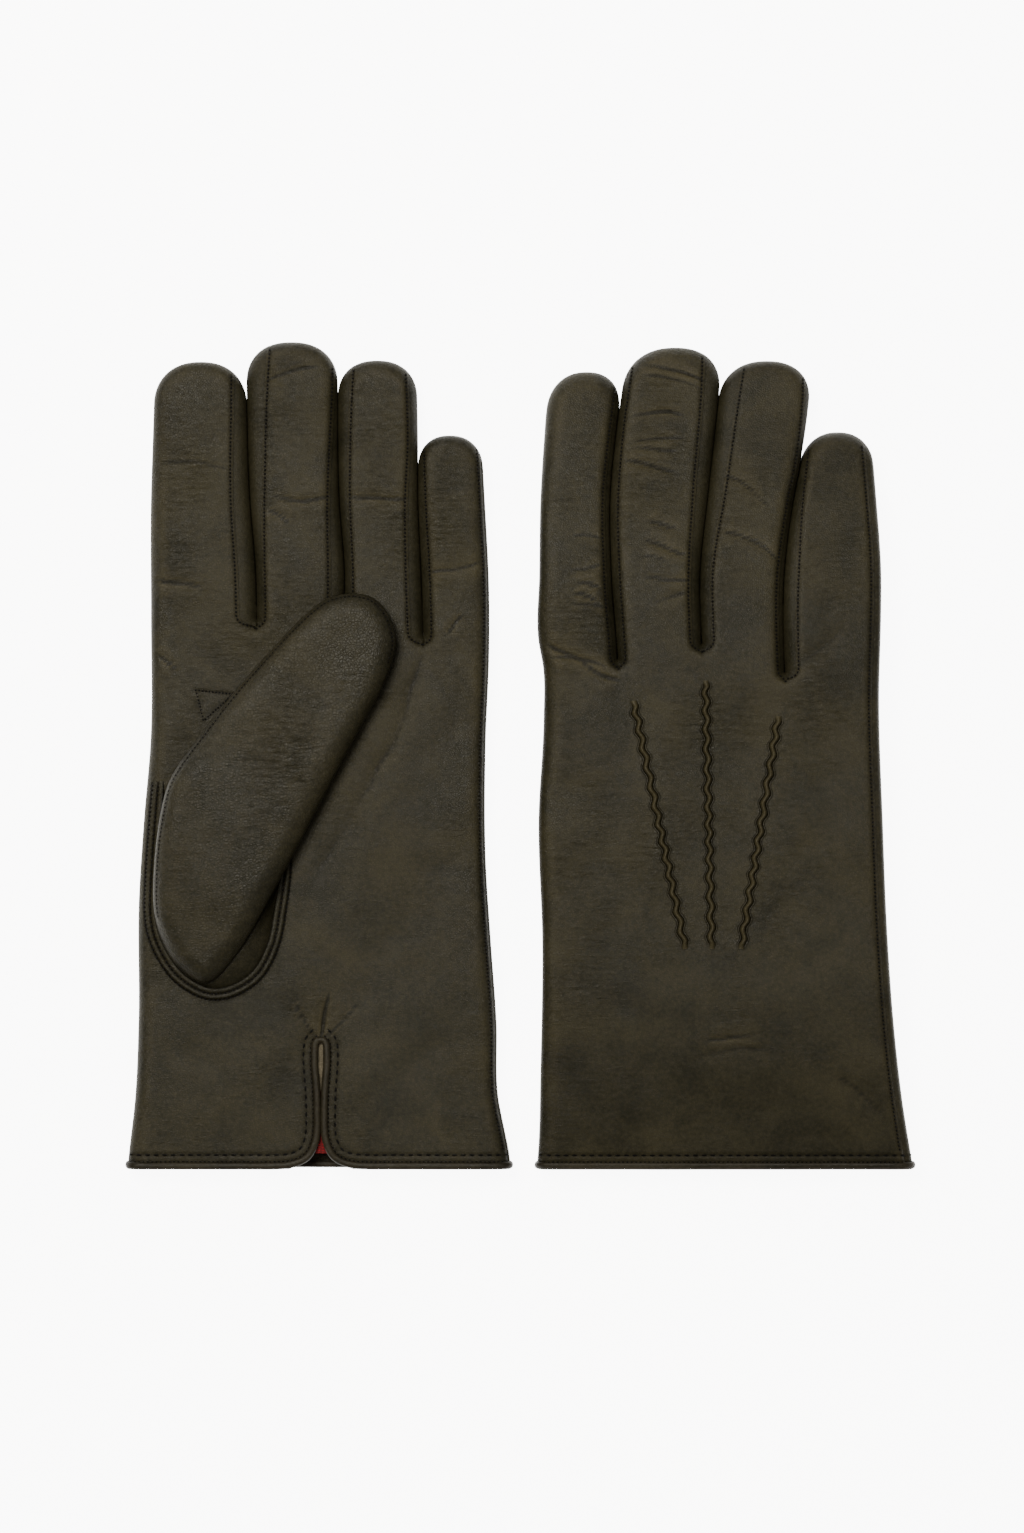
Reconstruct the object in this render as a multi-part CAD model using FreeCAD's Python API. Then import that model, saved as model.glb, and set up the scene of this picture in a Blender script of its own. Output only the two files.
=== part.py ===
"""A pair of lined leather dress gloves, lying side by side: the left one palm up, the right one back up.

Each glove is made once in its own flat frame: +X towards the little finger, +Y towards the fingertips,
+Z towards the palm, with Y = 0 at the cuff's edge and Z = 0 halfway through the hand. The right glove is
that glove mirrored in Z, and it droops over its thumb, which is folded under the palm.
"""

import FreeCAD, Part
import math
import os
from FreeCAD import Vector

# ---------------------------------------------------------------- driving dimensions, in millimetres
LEATHER = 0.8            # glove leather
LINING = 0.7             # knitted lining
HAND_HEIGHT = 11.0       # the hand and the fingers, lying empty
THUMB_HEIGHT = 10.0
EDGE = 5.0               # outside rounding of the hand, fingers and thumb along their sides
THUMB_EDGE = 4.5
THREAD = 0.6             # width of a row of stitches
HEM = 3.4                # width of the bound edge round the cuff
CROTCH_Y = 155.0         # where the hand divides into fingers
KNUCKLE_Y = 177.0        # the line that the fingers fold about
WRIST_Y = 46.0           # where the cuff droops from the palm
THUMB_LIFT = 0.4         # air between the palm and the folded thumb
NOTCH_AIR = 0.2          # air on each side of a knuckle line
FLEX_DEG = 80.0          # how far a finger folds towards the palm, from straight
BACK_DEG = 15.0          # how far it folds the other way
NOTCH_SPARE_DEG = 1.0
GLOVE_PITCH = 116.4      # between the two gloves' own origins, along X

VENT_X = 0.6             # the slit in the palm side of the cuff
VENT_TOP = 37.0
VENT_HALF_GAP = 0.9
VENT_BINDING = 2.2       # width of the binding along each side of the slit

THUMB_HOLE = (-29.5, 80.0)       # centre of the oval that the thumb is sewn into
THUMB_SEAM = (28.0, 16.5)        # that seam's outer half sizes, along Y and along X
THUMB_PASSAGE = (22.0, 12.0)     # the way through it into the thumb, half sizes along Y and along X
THUMB_OUTLINE = [(-49, 74), (-49, 113), (-1, 168), (12, 170), (22, 160), (17, 138), (-9, 89), (-31, 54)]
THUMB_CORNERS = [22, 12, 12, 9, 10, 30, 60, 8]
THUMB_SEAM_FROM = (-49, 113)     # the thumb's own seam runs along its upper edge, from here
THUMB_SEAM_TO = (22, 160)        # to here

SIDE_BEND = 120.0                # how softly the hand's sides change direction
POINT_WIDTH = 2.4                # the three raised lines on the back of the hand
POINTS = [((-22.8, 139.5), (-7.5, 66.0)), ((-1.5, 145.5), (0.3, 66.0)), ((20.1, 135.0), (9.0, 66.0))]
QUIRK = [(-36.6, 142.2), (-24.6, 142.2), (-34.5, 134.1)]

# The hand's sides, as (y, x at the forefinger's side, x at the little finger's side), from the cuff up.
# They end where the fingers' own sides begin.
LEFT_SIDES = [(0, -57.0, 56.7), (22, -55.0, 53.4), (60, -53.6, 51.6)]
RIGHT_SIDES = [(0, -50.4, 60.3), (22, -50.2, 57.2), (60, -50.0, 53.4)]

# name: (left and right x on the knuckle line, left and right x by the tip, y of the fingertip)
LEFT_FINGERS = {
    "index": ((-50.0, -20.3), (-48.0, -22.8), 240.0),
    "middle": ((-19.6, 6.8), (-21.6, 4.6), 246.0),
    "ring": ((7.4, 29.9), (6.3, 28.4), 240.6),
    "little": ((30.5, 50.4), (30.0, 49.0), 218.0),
}
RIGHT_FINGERS = {
    "index": ((-51.0, -29.2), (-47.8, -26.4), 236.5),
    "middle": ((-28.6, -2.2), (-25.0, 1.2), 244.8),
    "ring": ((-1.6, 23.6), (2.6, 27.0), 240.0),
    "little": ((24.2, 50.9), (28.4, 49.4), 219.0),
}
TIP_ROUND = 0.8          # a fingertip's corner radius, as a share of its half width

# ---------------------------------------------------------------- worked out from them
BIG = 400.0
PLATE_IN = EDGE + THREAD
THUMB_PLATE_IN = THUMB_EDGE + THREAD
HALF = HAND_HEIGHT / 2
THUMB_Z = HALF + THUMB_LIFT + THUMB_HEIGHT / 2
UNDER = THUMB_Z + THUMB_HEIGHT / 2            # what the right glove rests on, below its own middle
VENT_BOUND = VENT_HALF_GAP + VENT_BINDING
VENT_SEWN = VENT_BOUND + THREAD
THUMB_AXIS_X = min(x for x, _ in THUMB_OUTLINE) + THUMB_HEIGHT / 2


def droop_deg(reach):
    """The angle at which a straight piece of that reach, folded at its middle height, comes down to UNDER."""
    return math.degrees(math.asin(UNDER / math.hypot(reach, HALF)) - math.atan2(HALF, reach))


# ---------------------------------------------------------------- shapes
def rounded(points, radii):
    """A closed wire through the points, with a tangent arc at each corner that has a radius."""
    corners = []
    for i, (point, radius) in enumerate(zip(points, radii)):
        here = Vector(point[0], point[1], 0)
        before = Vector(*points[i - 1], 0) - here
        after = Vector(*points[(i + 1) % len(points)], 0) - here
        half_turn = (math.pi - before.getAngle(after)) / 2
        if radius <= 0:
            corners.append((here, None, here))
            continue
        cut = radius * math.tan(half_turn)
        middle = (before.normalize() + after.normalize()).normalize()
        bulge = here + middle * (radius / math.cos(half_turn) - radius)
        corners.append((here + before * cut, bulge, here + after * cut))
    edges = []
    for i, (start, bulge, end) in enumerate(corners):
        if bulge is not None:
            edges.append(Part.Arc(start, bulge, end).toShape())
        following = corners[(i + 1) % len(corners)][0]
        if end.distanceToPoint(following) > 1e-6:
            edges.append(Part.LineSegment(end, following).toShape())
    return Part.Wire(edges)


def inset(wire, distance):
    return wire.makeOffset2D(-distance) if distance else wire


def prism(wire, low=-BIG, high=BIG):
    solid = Part.Face(wire).extrude(Vector(0, 0, high - low))
    solid.translate(Vector(0, 0, low))
    return solid


def pillow(wire, height, edge):
    """A prism of that height about Z = 0, with its upper and lower edges rounded."""
    block = prism(wire, -height / 2, height / 2)
    level = [e for e in block.Edges if abs(abs(e.BoundBox.ZMin) - height / 2) < 1e-6 and e.BoundBox.ZLength < 1e-6]
    return block.makeFillet(edge, level)


def box(x0, x1, y0, y1, z0=-BIG, z1=BIG):
    return Part.makeBox(x1 - x0, y1 - y0, z1 - z0, Vector(x0, y0, z0))


def oval(centre, half_sizes):
    ellipse = Part.Ellipse(Vector(centre[0], centre[1], 0), max(half_sizes), min(half_sizes))
    if half_sizes[0] > half_sizes[1]:
        ellipse.rotate(FreeCAD.Placement(Vector(*centre, 0), FreeCAD.Rotation(Vector(0, 0, 1), 90)))
    return Part.Wire(ellipse.toShape())


def strip(start, end, width):
    """A straight strip in plan with round ends."""
    along = Vector(end[0] - start[0], end[1] - start[1], 0)
    side = Vector(-along.y, along.x, 0).normalize() * (width / 2)
    reach = Vector(along).normalize() * (width / 2)
    a, b = Vector(*start, 0), Vector(*end, 0)
    return Part.Wire([
        Part.LineSegment(a + side, b + side).toShape(),
        Part.Arc(b + side, b + reach, b - side).toShape(),
        Part.LineSegment(b - side, a - side).toShape(),
        Part.Arc(a - side, a - reach, a + side).toShape(),
    ])


def slot(half_width, top):
    """The vent's outline, open past the cuff's edge, with a round top."""
    left, right, low = VENT_X - half_width, VENT_X + half_width, -10
    round_top = half_width * 0.98
    return rounded([(left, low), (left, top), (right, top), (right, low)], [0, round_top, round_top, 0])


PALM_SIDE = box(-BIG, BIG, -BIG, BIG, 0, BIG)
BACK_SIDE = box(-BIG, BIG, -BIG, BIG, -BIG, 0)


def keep(shape, *regions):
    for region in regions:
        shape = shape.common(region)
    return shape


def solids(*shapes):
    """The separate solids of some shapes, without slivers left by a cut."""
    return [s for shape in shapes for s in shape.Solids if s.Volume > 0.05]


class Tube:
    """A hollow flattened tube of one outline: its leather, its lining, and the regions that divide the leather."""

    def __init__(self, wire, height, edge):
        self.outer = pillow(wire, height, edge)
        self.under_leather = pillow(inset(wire, LEATHER), height - 2 * LEATHER, edge - LEATHER)
        both = LEATHER + LINING
        self.hollow = pillow(inset(wire, both), height - 2 * both, edge - both)
        self.leather = self.outer.cut(self.under_leather)
        self.lining = self.under_leather.cut(self.hollow)
        self.wall = self.outer.cut(self.hollow)
        self.flat = prism(inset(wire, edge + THREAD))
        self.flat_and_thread = prism(inset(wire, edge))
        self.thread = self.leather.common(self.flat_and_thread).cut(self.flat)
        self.plates = self.leather.common(self.flat)
        self.rim = self.leather.cut(self.flat_and_thread)
        self.fold = self.leather.cut(self.flat)


# ---------------------------------------------------------------- the hand
def hand_outline(sides, crotch):
    """The hand in plan, running past the cuff's edge and past the crotches, where it is cut.

    crotch holds the two outer fingers' side lines there, as (x on the crotch line, x per y).
    """
    past = 20
    (left_x, left_slope), (right_x, right_slope) = crotch
    right = [(sides[0][2], -past)] + [(x, y) for y, _, x in sides]
    right += [(right_x, CROTCH_Y), (right_x + right_slope * past, CROTCH_Y + past)]
    left = [(sides[0][1], -past)] + [(x, y) for y, x, _ in sides]
    left += [(left_x, CROTCH_Y), (left_x + left_slope * past, CROTCH_Y + past)]
    bends = [0, 60] + [SIDE_BEND] * (len(right) - 4) + [60, 0]
    return rounded(right + left[::-1], bends + bends[::-1])


def drape(shape, droop):
    """The hand's pieces, with the cuff turned towards the palm by the droop, about the wrist line at middle height."""
    if not droop:
        return shape.Solids
    lean = math.tan(math.radians(droop / 2)) * BIG
    upper = [(WRIST_Y + lean, BIG), (WRIST_Y - lean, -BIG), (BIG * 2, -BIG), (BIG * 2, BIG)]
    lower = [(WRIST_Y - lean, BIG), (WRIST_Y + lean, -BIG), (-BIG * 2, -BIG), (-BIG * 2, BIG)]
    done = []
    for outline, angle in ((upper, 0), (lower, -droop)):
        wire = Part.makePolygon([Vector(-BIG, y, z) for y, z in outline + outline[:1]])
        part = shape.common(Part.Face(wire).extrude(Vector(2 * BIG, 0, 0)))
        part.rotate(Vector(0, WRIST_Y, 0), Vector(1, 0, 0), angle)
        done += solids(part)
    return done


def hand(sides, crotch, droop):
    """The hand's nodes without its finger roots: {name: solids}."""
    tube = Tube(hand_outline(sides, crotch), HAND_HEIGHT, EDGE)
    body = box(-BIG, BIG, HEM + THREAD, CROTCH_Y)
    hem = box(-BIG, BIG, 0, HEM)
    hem_row = box(-BIG, BIG, HEM, HEM + THREAD)
    forefinger_side = box(-BIG, 0, -BIG, BIG)
    little_side = box(0, BIG, -BIG, BIG)
    gap = prism(slot(VENT_HALF_GAP, VENT_TOP - VENT_BINDING), 0)
    bound = prism(slot(VENT_BOUND, VENT_TOP), 0)
    sewn = prism(slot(VENT_SEWN, VENT_TOP + THREAD), 0)
    seam = prism(oval(THUMB_HOLE, THUMB_SEAM), 0)
    base = prism(oval(THUMB_HOLE, [size - THREAD for size in THUMB_SEAM]), 0)
    passage = prism(oval(THUMB_HOLE, THUMB_PASSAGE), 0)
    quirk = prism(rounded(QUIRK, [0.6] * 3), 0)
    lines = [prism(strip(*line, POINT_WIDTH), -BIG, 0) for line in POINTS]

    plates = keep(tube.plates, body)
    palm = keep(plates, PALM_SIDE).cut(seam).cut(quirk).cut(sewn)
    back = keep(plates, BACK_SIDE)
    for line in lines:
        back = back.cut(line)
    palm_panel = keep(plates, PALM_SIDE)
    cuff_wall = keep(tube.wall, hem)
    return {name: [d for s in found for d in drape(s, droop)] for name, found in {
        "palm_leather": solids(palm, keep(tube.fold, body, little_side, PALM_SIDE)),
        "back_leather": solids(back, keep(tube.rim, body, little_side, BACK_SIDE),
                               keep(tube.fold, body, forefinger_side)),
        "hand_lining": solids(keep(tube.lining, box(-BIG, BIG, HEM, CROTCH_Y)).cut(bound).cut(passage)),
        "cuff_binding": solids(keep(cuff_wall, tube.flat).cut(bound), keep(cuff_wall, forefinger_side).cut(tube.flat),
                               keep(cuff_wall, little_side).cut(tube.flat)),
        "vent_binding": solids(keep(tube.wall, box(-BIG, BIG, 0, CROTCH_Y), bound).cut(gap)),
        "cuff_stitching": solids(keep(tube.leather, hem_row).cut(bound),
                                 keep(tube.leather, body, sewn).cut(bound)),
        "side_seam_stitching": solids(keep(tube.thread, body, little_side, BACK_SIDE)),
        "points": solids(*[keep(plates, BACK_SIDE, line) for line in lines]),
        "thumb_hole_stitching": solids(keep(palm_panel, seam).cut(base)),
        "thumb_gusset": solids(keep(palm_panel, base).cut(passage), keep(palm_panel, quirk)),
    }.items()}


# ---------------------------------------------------------------- the fingers
def past_knuckle(sign):
    """The side of the knuckle line that the finger (1) or its root (-1) keeps, open enough to fold."""
    palm = NOTCH_AIR + BIG * math.tan(math.radians((FLEX_DEG + NOTCH_SPARE_DEG) / 2))
    back = NOTCH_AIR + BIG * math.tan(math.radians((BACK_DEG + NOTCH_SPARE_DEG) / 2))
    outline = [(NOTCH_AIR, 0), (palm, BIG), (2 * BIG, BIG), (2 * BIG, -BIG), (back, -BIG)]
    wire = Part.makePolygon([Vector(-BIG, sign * y, z) for y, z in outline + outline[:1]])
    return Part.Face(wire).extrude(Vector(2 * BIG, 0, 0))


class Finger:
    """One finger, made along its own Y axis from the knuckle line, then turned to its place in the glove."""

    def __init__(self, name, at_knuckle, at_tip, tip_y, droops):
        self.name = name
        self.x = sum(at_knuckle) / 2
        half_root = (at_knuckle[1] - at_knuckle[0]) / 2
        half_tip = (at_tip[1] - at_tip[0]) / 2
        sideways = sum(at_tip) / 2 - self.x
        along = tip_y - KNUCKLE_Y
        self.lean_deg = -math.degrees(math.atan2(sideways, along - half_tip / 2))
        self.droop_deg = droop_deg(along - EDGE) if droops else 0.0
        self.length = along / math.cos(math.radians(self.droop_deg))
        self.half_root = half_root
        self.spread = (half_root - half_tip) / self.length
        root = KNUCKLE_Y - CROTCH_Y + 15
        low = half_root + self.spread * root
        self.beside_tip = box(-BIG, BIG, -BIG, self.length - half_tip * TIP_ROUND)
        tip = half_tip * TIP_ROUND
        wire = rounded([(-low, -root), (low, -root), (half_tip, self.length), (-half_tip, self.length)], [0, 0, tip, tip])
        self.tube = Tube(wire, HAND_HEIGHT, EDGE)

    def side_line(self, side):
        """One side of the finger where it meets the hand, as (x on the crotch line, x per y)."""
        lean = math.radians(self.lean_deg)
        slope = math.tan(-lean - side * math.atan(self.spread))
        x_at_knuckle = self.x + side * self.half_root / math.cos(lean)
        return x_at_knuckle - slope * (KNUCKLE_Y - CROTCH_Y), slope

    def place(self, shape, droop=True):
        if droop:
            shape.rotate(Vector(0, 0, 0), Vector(1, 0, 0), self.droop_deg)
        shape.rotate(Vector(0, 0, 0), Vector(0, 0, 1), self.lean_deg)
        shape.translate(Vector(self.x, KNUCKLE_Y, 0))
        return shape

    def leather(self, region):
        """Plates, the rim round the tip, and the outer side of a finger that has no strip of leather let in there."""
        tube, found = self.tube, solids(keep(self.tube.plates, region))
        found += solids(keep(tube.rim, region).cut(self.beside_tip))
        if self.name == "index":
            found += solids(keep(tube.fold, region, self.beside_tip, self.half(-1)))
        if self.name == "little":
            outer = self.beside_tip.common(self.half(1))
            found += solids(keep(tube.fold, region, outer, PALM_SIDE), keep(tube.rim, region, outer, BACK_SIDE))
        return found

    def sides(self):
        """The sides that have a strip of leather let in: -1 towards the forefinger's edge, 1 towards the other."""
        return [side for side in (-1, 1) if (self.name, side) not in (("index", -1), ("little", 1))]

    def half(self, side):
        return box(-BIG, 0, -BIG, BIG) if side < 0 else box(0, BIG, -BIG, BIG)

    def fourchettes(self, region):
        return solids(*[keep(self.tube.rim, region, self.beside_tip, self.half(side)) for side in self.sides()])

    def stitching(self, region):
        """A row beside each let-in strip and over the tip, and the little finger's side seam, on the back."""
        found = [keep(self.tube.thread, region).cut(self.beside_tip)]
        found += [keep(self.tube.thread, region, self.beside_tip, self.half(side)) for side in self.sides()]
        if self.name == "little":
            found.append(keep(self.tube.thread, region, self.beside_tip, self.half(1), BACK_SIDE))
        return solids(*found)

    def nodes(self):
        """The pieces that fold with the finger."""
        beyond = past_knuckle(1)
        found = {
            "leather": self.leather(beyond),
            "fourchettes": self.fourchettes(beyond),
            "stitching": self.stitching(beyond),
            "lining": solids(keep(self.tube.lining, beyond)),
        }
        return {f"{self.name}_{key}": [self.place(s) for s in value] for key, value in found.items()}

    def root(self):
        """The pieces between the hand and the knuckle line, which stay with the hand: {hand's node: solids}."""
        before = past_knuckle(-1)
        leather = self.leather(before)
        found = {
            "palm_leather": [s for s in leather if s.CenterOfMass.z > 0.5],
            "back_leather": [s for s in leather if s.CenterOfMass.z <= 0.5],
            "root_fourchettes": self.fourchettes(before) + self.stitching(before),
            "hand_lining": solids(keep(self.tube.lining, before)),
        }
        above_crotch = box(-BIG, BIG, CROTCH_Y, BIG)
        return {key: [t for s in value for t in solids(self.place(s, droop=False).common(above_crotch))]
                for key, value in found.items()}


# ---------------------------------------------------------------- the thumb
def thumb():
    """The thumb, folded flat over the palm: {name: solids}."""
    tube = Tube(rounded(THUMB_OUTLINE, THUMB_CORNERS), THUMB_HEIGHT, THUMB_EDGE)
    passage = prism(oval(THUMB_HOLE, THUMB_PASSAGE), -BIG, 0)
    across = Vector(*THUMB_SEAM_TO, 0) - Vector(*THUMB_SEAM_FROM, 0)
    angle = math.degrees(math.atan2(across.y, across.x))
    seam_side = box(-BIG, BIG, 0, BIG, 0, BIG)
    seam_side.rotate(Vector(0, 0, 0), Vector(0, 0, 1), angle)
    seam_side.translate(Vector(*THUMB_SEAM_FROM, 0))
    row = keep(tube.thread, seam_side)
    quarters = [box(-BIG, THUMB_HOLE[0], -BIG, THUMB_HOLE[1]), box(-BIG, THUMB_HOLE[0], THUMB_HOLE[1], BIG),
                box(THUMB_HOLE[0], BIG, -BIG, THUMB_HOLE[1]), box(THUMB_HOLE[0], BIG, THUMB_HOLE[1], 150),
                box(THUMB_HOLE[0], BIG, 150, BIG)]
    edge_leather = tube.leather.cut(tube.flat).cut(row)
    found = {
        "thumb_leather": solids(tube.plates.cut(passage), *[keep(edge_leather, q) for q in quarters]),
        "thumb_lining": solids(tube.lining.cut(passage)),
        "thumb_stitching": solids(row),
    }
    for shape in [s for value in found.values() for s in value]:
        shape.translate(Vector(0, 0, THUMB_Z))
    return found


# ---------------------------------------------------------------- the pair
def glove(sides, fingers, droops):
    """All of one glove's nodes, palm towards +Z."""
    made = [Finger(name, *places, droops) for name, places in fingers.items()]
    crotch = made[0].side_line(-1), made[-1].side_line(1)
    nodes = hand(sides, crotch, droop_deg(WRIST_Y) if droops else 0.0)
    nodes["root_fourchettes"] = []
    for finger in made:
        nodes.update(finger.nodes())
        for key, value in finger.root().items():
            nodes[key] += value
    nodes.update(thumb())
    return nodes


def origins():
    """Where each glove's own origin lies in the pair, so that the pair's box is centred on X = Y = 0 and rests on Z = 0."""
    middle = (LEFT_SIDES[0][1] + GLOVE_PITCH + RIGHT_SIDES[0][2]) / 2
    length = max(finger[2] for finger in LEFT_FINGERS.values())
    left = Vector(-middle, -length / 2, HALF)
    right = Vector(GLOVE_PITCH - middle, -length / 2, UNDER)
    return left, right


def write(prefix, nodes, origin, mirrored):
    for name, found in nodes.items():
        placed = []
        for solid in found:
            if mirrored:
                solid = solid.mirror(Vector(0, 0, 0), Vector(0, 0, 1))
            solid.translate(origin)
            placed.append(solid)
        Part.makeCompound(placed).exportStep(f"parts/{prefix}_{name}.step")


def main():
    os.makedirs("parts", exist_ok=True)
    left, right = origins()
    write("left", glove(LEFT_SIDES, LEFT_FINGERS, droops=False), left, mirrored=False)
    write("right", glove(RIGHT_SIDES, RIGHT_FINGERS, droops=True), right, mirrored=True)


if __name__ == "__main__":
    main()
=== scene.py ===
"""A pair of lined leather dress gloves lying side by side: the left one palm up, the right one back up.

Each glove is drawn in its own plan, in millimetres: x towards the little finger, y towards the fingertips with
y = 0 at the cuff's edge, and z from the middle of the glove towards its palm. A Placing carries the plan into the
frame: the left glove lies with its palm up, and the right one with its palm down, over its folded thumb.
"""

import logging
import math
from collections.abc import Callable, Sequence
from dataclasses import dataclass, replace
from enum import Enum
from functools import cached_property
from typing import ClassVar

import bmesh
import bpy
import numpy as np
from mathutils import Matrix, Vector, noise
from mathutils.kdtree import KDTree


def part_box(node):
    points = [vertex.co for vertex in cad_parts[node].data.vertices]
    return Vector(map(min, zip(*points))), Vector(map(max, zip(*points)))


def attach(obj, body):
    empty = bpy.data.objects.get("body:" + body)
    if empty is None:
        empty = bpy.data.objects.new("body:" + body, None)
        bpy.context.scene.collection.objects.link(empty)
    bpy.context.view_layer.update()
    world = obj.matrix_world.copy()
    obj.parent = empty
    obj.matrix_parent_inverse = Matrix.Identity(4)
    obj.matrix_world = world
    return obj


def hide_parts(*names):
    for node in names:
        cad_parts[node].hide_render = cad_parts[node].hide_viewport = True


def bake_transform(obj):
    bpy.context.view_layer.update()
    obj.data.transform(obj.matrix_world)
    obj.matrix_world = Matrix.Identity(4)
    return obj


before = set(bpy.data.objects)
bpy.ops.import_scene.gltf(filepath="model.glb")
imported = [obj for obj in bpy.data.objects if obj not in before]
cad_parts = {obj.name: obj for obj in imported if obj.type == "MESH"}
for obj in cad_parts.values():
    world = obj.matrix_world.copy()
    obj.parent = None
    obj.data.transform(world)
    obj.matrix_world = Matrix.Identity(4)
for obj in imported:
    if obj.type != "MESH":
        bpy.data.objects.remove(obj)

log = logging.getLogger("gloves")

MM = 0.001
SOFT = 80.0  # pieces without hard edges are shaded sharp only where they turn by more degrees than this
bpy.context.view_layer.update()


class Side(Enum):
    """The two faces of a glove."""

    PALM = 1
    BACK = -1


# ------------------------------------------------------------------ lines and profiles
def smooth(t: np.ndarray) -> np.ndarray:
    """A smooth step from 0 to 1 as t goes from 0 to 1."""
    t = np.clip(t, 0.0, 1.0)
    return t * t * (3.0 - 2.0 * t)


def round_in(t: np.ndarray) -> np.ndarray:
    """A quarter circle's rise, from 0 at t = 0, upright, to 1 at t = 1, level."""
    t = np.clip(t, 0.0, 1.0)
    return np.sqrt(np.maximum(0.0, 1.0 - (1.0 - t) ** 2))


def pillowed(t: np.ndarray, flatness: float = 2.7) -> np.ndarray:
    """The rise of a soft flat pillow from its outline, at t = 0, to its level top, at t = 1."""
    return (1 - (1 - np.clip(t, 0.0, 1.0)) ** flatness) ** (1 / flatness)


@dataclass(frozen=True)
class Line:
    """A smooth line up the glove, straight past its ends.

    Attributes:
        points: pairs of (y, value), from the cuff up.
    """

    points: tuple[tuple[float, float], ...]

    def at(self, y: np.ndarray | float) -> np.ndarray:
        """The line's value at y.

        Args:
            y: one or more heights up the glove, in millimetres.

        Returns:
            The values there.
        """
        ys, xs = (np.array(c, float) for c in zip(*self.points))
        slopes = np.gradient(xs, ys)
        y = np.asarray(y, float)
        i = np.clip(np.searchsorted(ys, y) - 1, 0, len(ys) - 2)
        step = ys[i + 1] - ys[i]
        t = (y - ys[i]) / step
        c = np.clip(t, 0.0, 1.0)
        rise = c * c * (3 - 2 * c)
        value = xs[i] + (xs[i + 1] - xs[i]) * rise
        value += step * (c * (1 - c) ** 2 * slopes[i] - c * c * (1 - c) * slopes[i + 1])
        before = np.where(t < 0, t * step * slopes[i], 0)
        return value + before + np.where(t > 1, (t - 1) * step * slopes[i + 1], 0)


def spline(points: Sequence[tuple[float, float]], spacing: float, closed: bool = False) -> np.ndarray:
    """Evenly spaced points along a smooth curve through some points in plan.

    Args:
        points: the points that the curve passes through.
        spacing: the distance between the returned points, in millimetres.
        closed: whether the curve returns to its start.

    Returns:
        An array of points, one row each.
    """
    p = np.array(points, float)
    before = np.roll(p, 1, 0) if closed else np.vstack([2 * p[0] - p[1], p[:-1]])
    after = np.roll(p, -1, 0) if closed else np.vstack([p[1:], 2 * p[-1] - p[-2]])
    tangent = (after - before) / 2
    spans = len(p) if closed else len(p) - 1
    pieces = []
    for k in range(spans):
        a, b, ta, tb = p[k], p[(k + 1) % len(p)], tangent[k], tangent[(k + 1) % len(p)]
        t = np.linspace(0, 1, 24, endpoint=False)[:, None]
        pieces.append((2 * t**3 - 3 * t**2 + 1) * a + (t**3 - 2 * t**2 + t) * ta
                      + (3 * t**2 - 2 * t**3) * b + (t**3 - t**2) * tb)
    dense = np.vstack(pieces + [p[:1] if closed else p[-1:]])
    return resample(dense, spacing)


def resample(path: np.ndarray, spacing: float) -> np.ndarray:
    """The same path with evenly spaced points.

    Args:
        path: points along the path.
        spacing: the distance wanted between points, in the path's unit.

    Returns:
        The path's points again, both ends kept.
    """
    run = np.concatenate([[0.0], np.cumsum(np.linalg.norm(np.diff(path, axis=0), axis=1))])
    count = max(2, int(round(run[-1] / spacing)) + 1)
    at = np.linspace(0, run[-1], count)
    return np.column_stack([np.interp(at, run, path[:, k]) for k in range(path.shape[1])])


def unit(vectors: np.ndarray) -> np.ndarray:
    """Vectors made one long."""
    return vectors / np.linalg.norm(vectors, axis=1, keepdims=True)


def beside(path: np.ndarray, distance: float) -> np.ndarray:
    """A path beside another in plan, on its left by that distance.

    Args:
        path: points along the first path.
        distance: how far to its left, in millimetres.

    Returns:
        The points of the new path.
    """
    along = np.gradient(path, axis=0)
    along /= np.maximum(np.linalg.norm(along, axis=1, keepdims=True), 1e-9)
    return path + distance * np.column_stack([-along[:, 1], along[:, 0]])


def ripple(x: np.ndarray, y: np.ndarray, scale: float, seed: float) -> np.ndarray:
    """Smooth noise over the plan.

    Args:
        x: places across.
        y: places along.
        scale: the size of its waves, in millimetres.
        seed: which noise to take.

    Returns:
        Values from about -1 to 1.
    """
    places = zip(np.ravel(x), np.ravel(y))
    return np.array([noise.noise(Vector((a / scale, b / scale, seed))) for a, b in places]).reshape(np.shape(x))


def spread(path: np.ndarray, count: int) -> np.ndarray:
    """A path as that many points, which lie among its own points at even shares of their number."""
    at = np.linspace(0, 1, count)
    return np.column_stack([np.interp(at, np.linspace(0, 1, len(path)), path[:, k]) for k in range(2)])


def tree_of(points: np.ndarray) -> KDTree:
    """A search tree of points in plan."""
    tree = KDTree(len(points))
    for i, (a, b) in enumerate(points):
        tree.insert((a, b, 0.0), i)
    tree.balance()
    return tree


def distances(tree: KDTree, x: np.ndarray, y: np.ndarray) -> np.ndarray:
    """How far places are from the nearest point of a tree."""
    return np.array([tree.find((a, b, 0.0))[2] for a, b in zip(x, y)])


def slopes(height: Callable[[np.ndarray, np.ndarray], np.ndarray], x: np.ndarray, y: np.ndarray,
           step: float = 0.25) -> tuple[np.ndarray, np.ndarray]:
    """How steeply a surface rises across and along at places.

    Args:
        height: gives the surface's height at places.
        x: places across.
        y: places along.
        step: how far to each side it is measured, in millimetres.

    Returns:
        The two slopes.
    """
    return ((height(x + step, y) - height(x - step, y)) / (2 * step),
            (height(x, y + step) - height(x, y - step)) / (2 * step))


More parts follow.
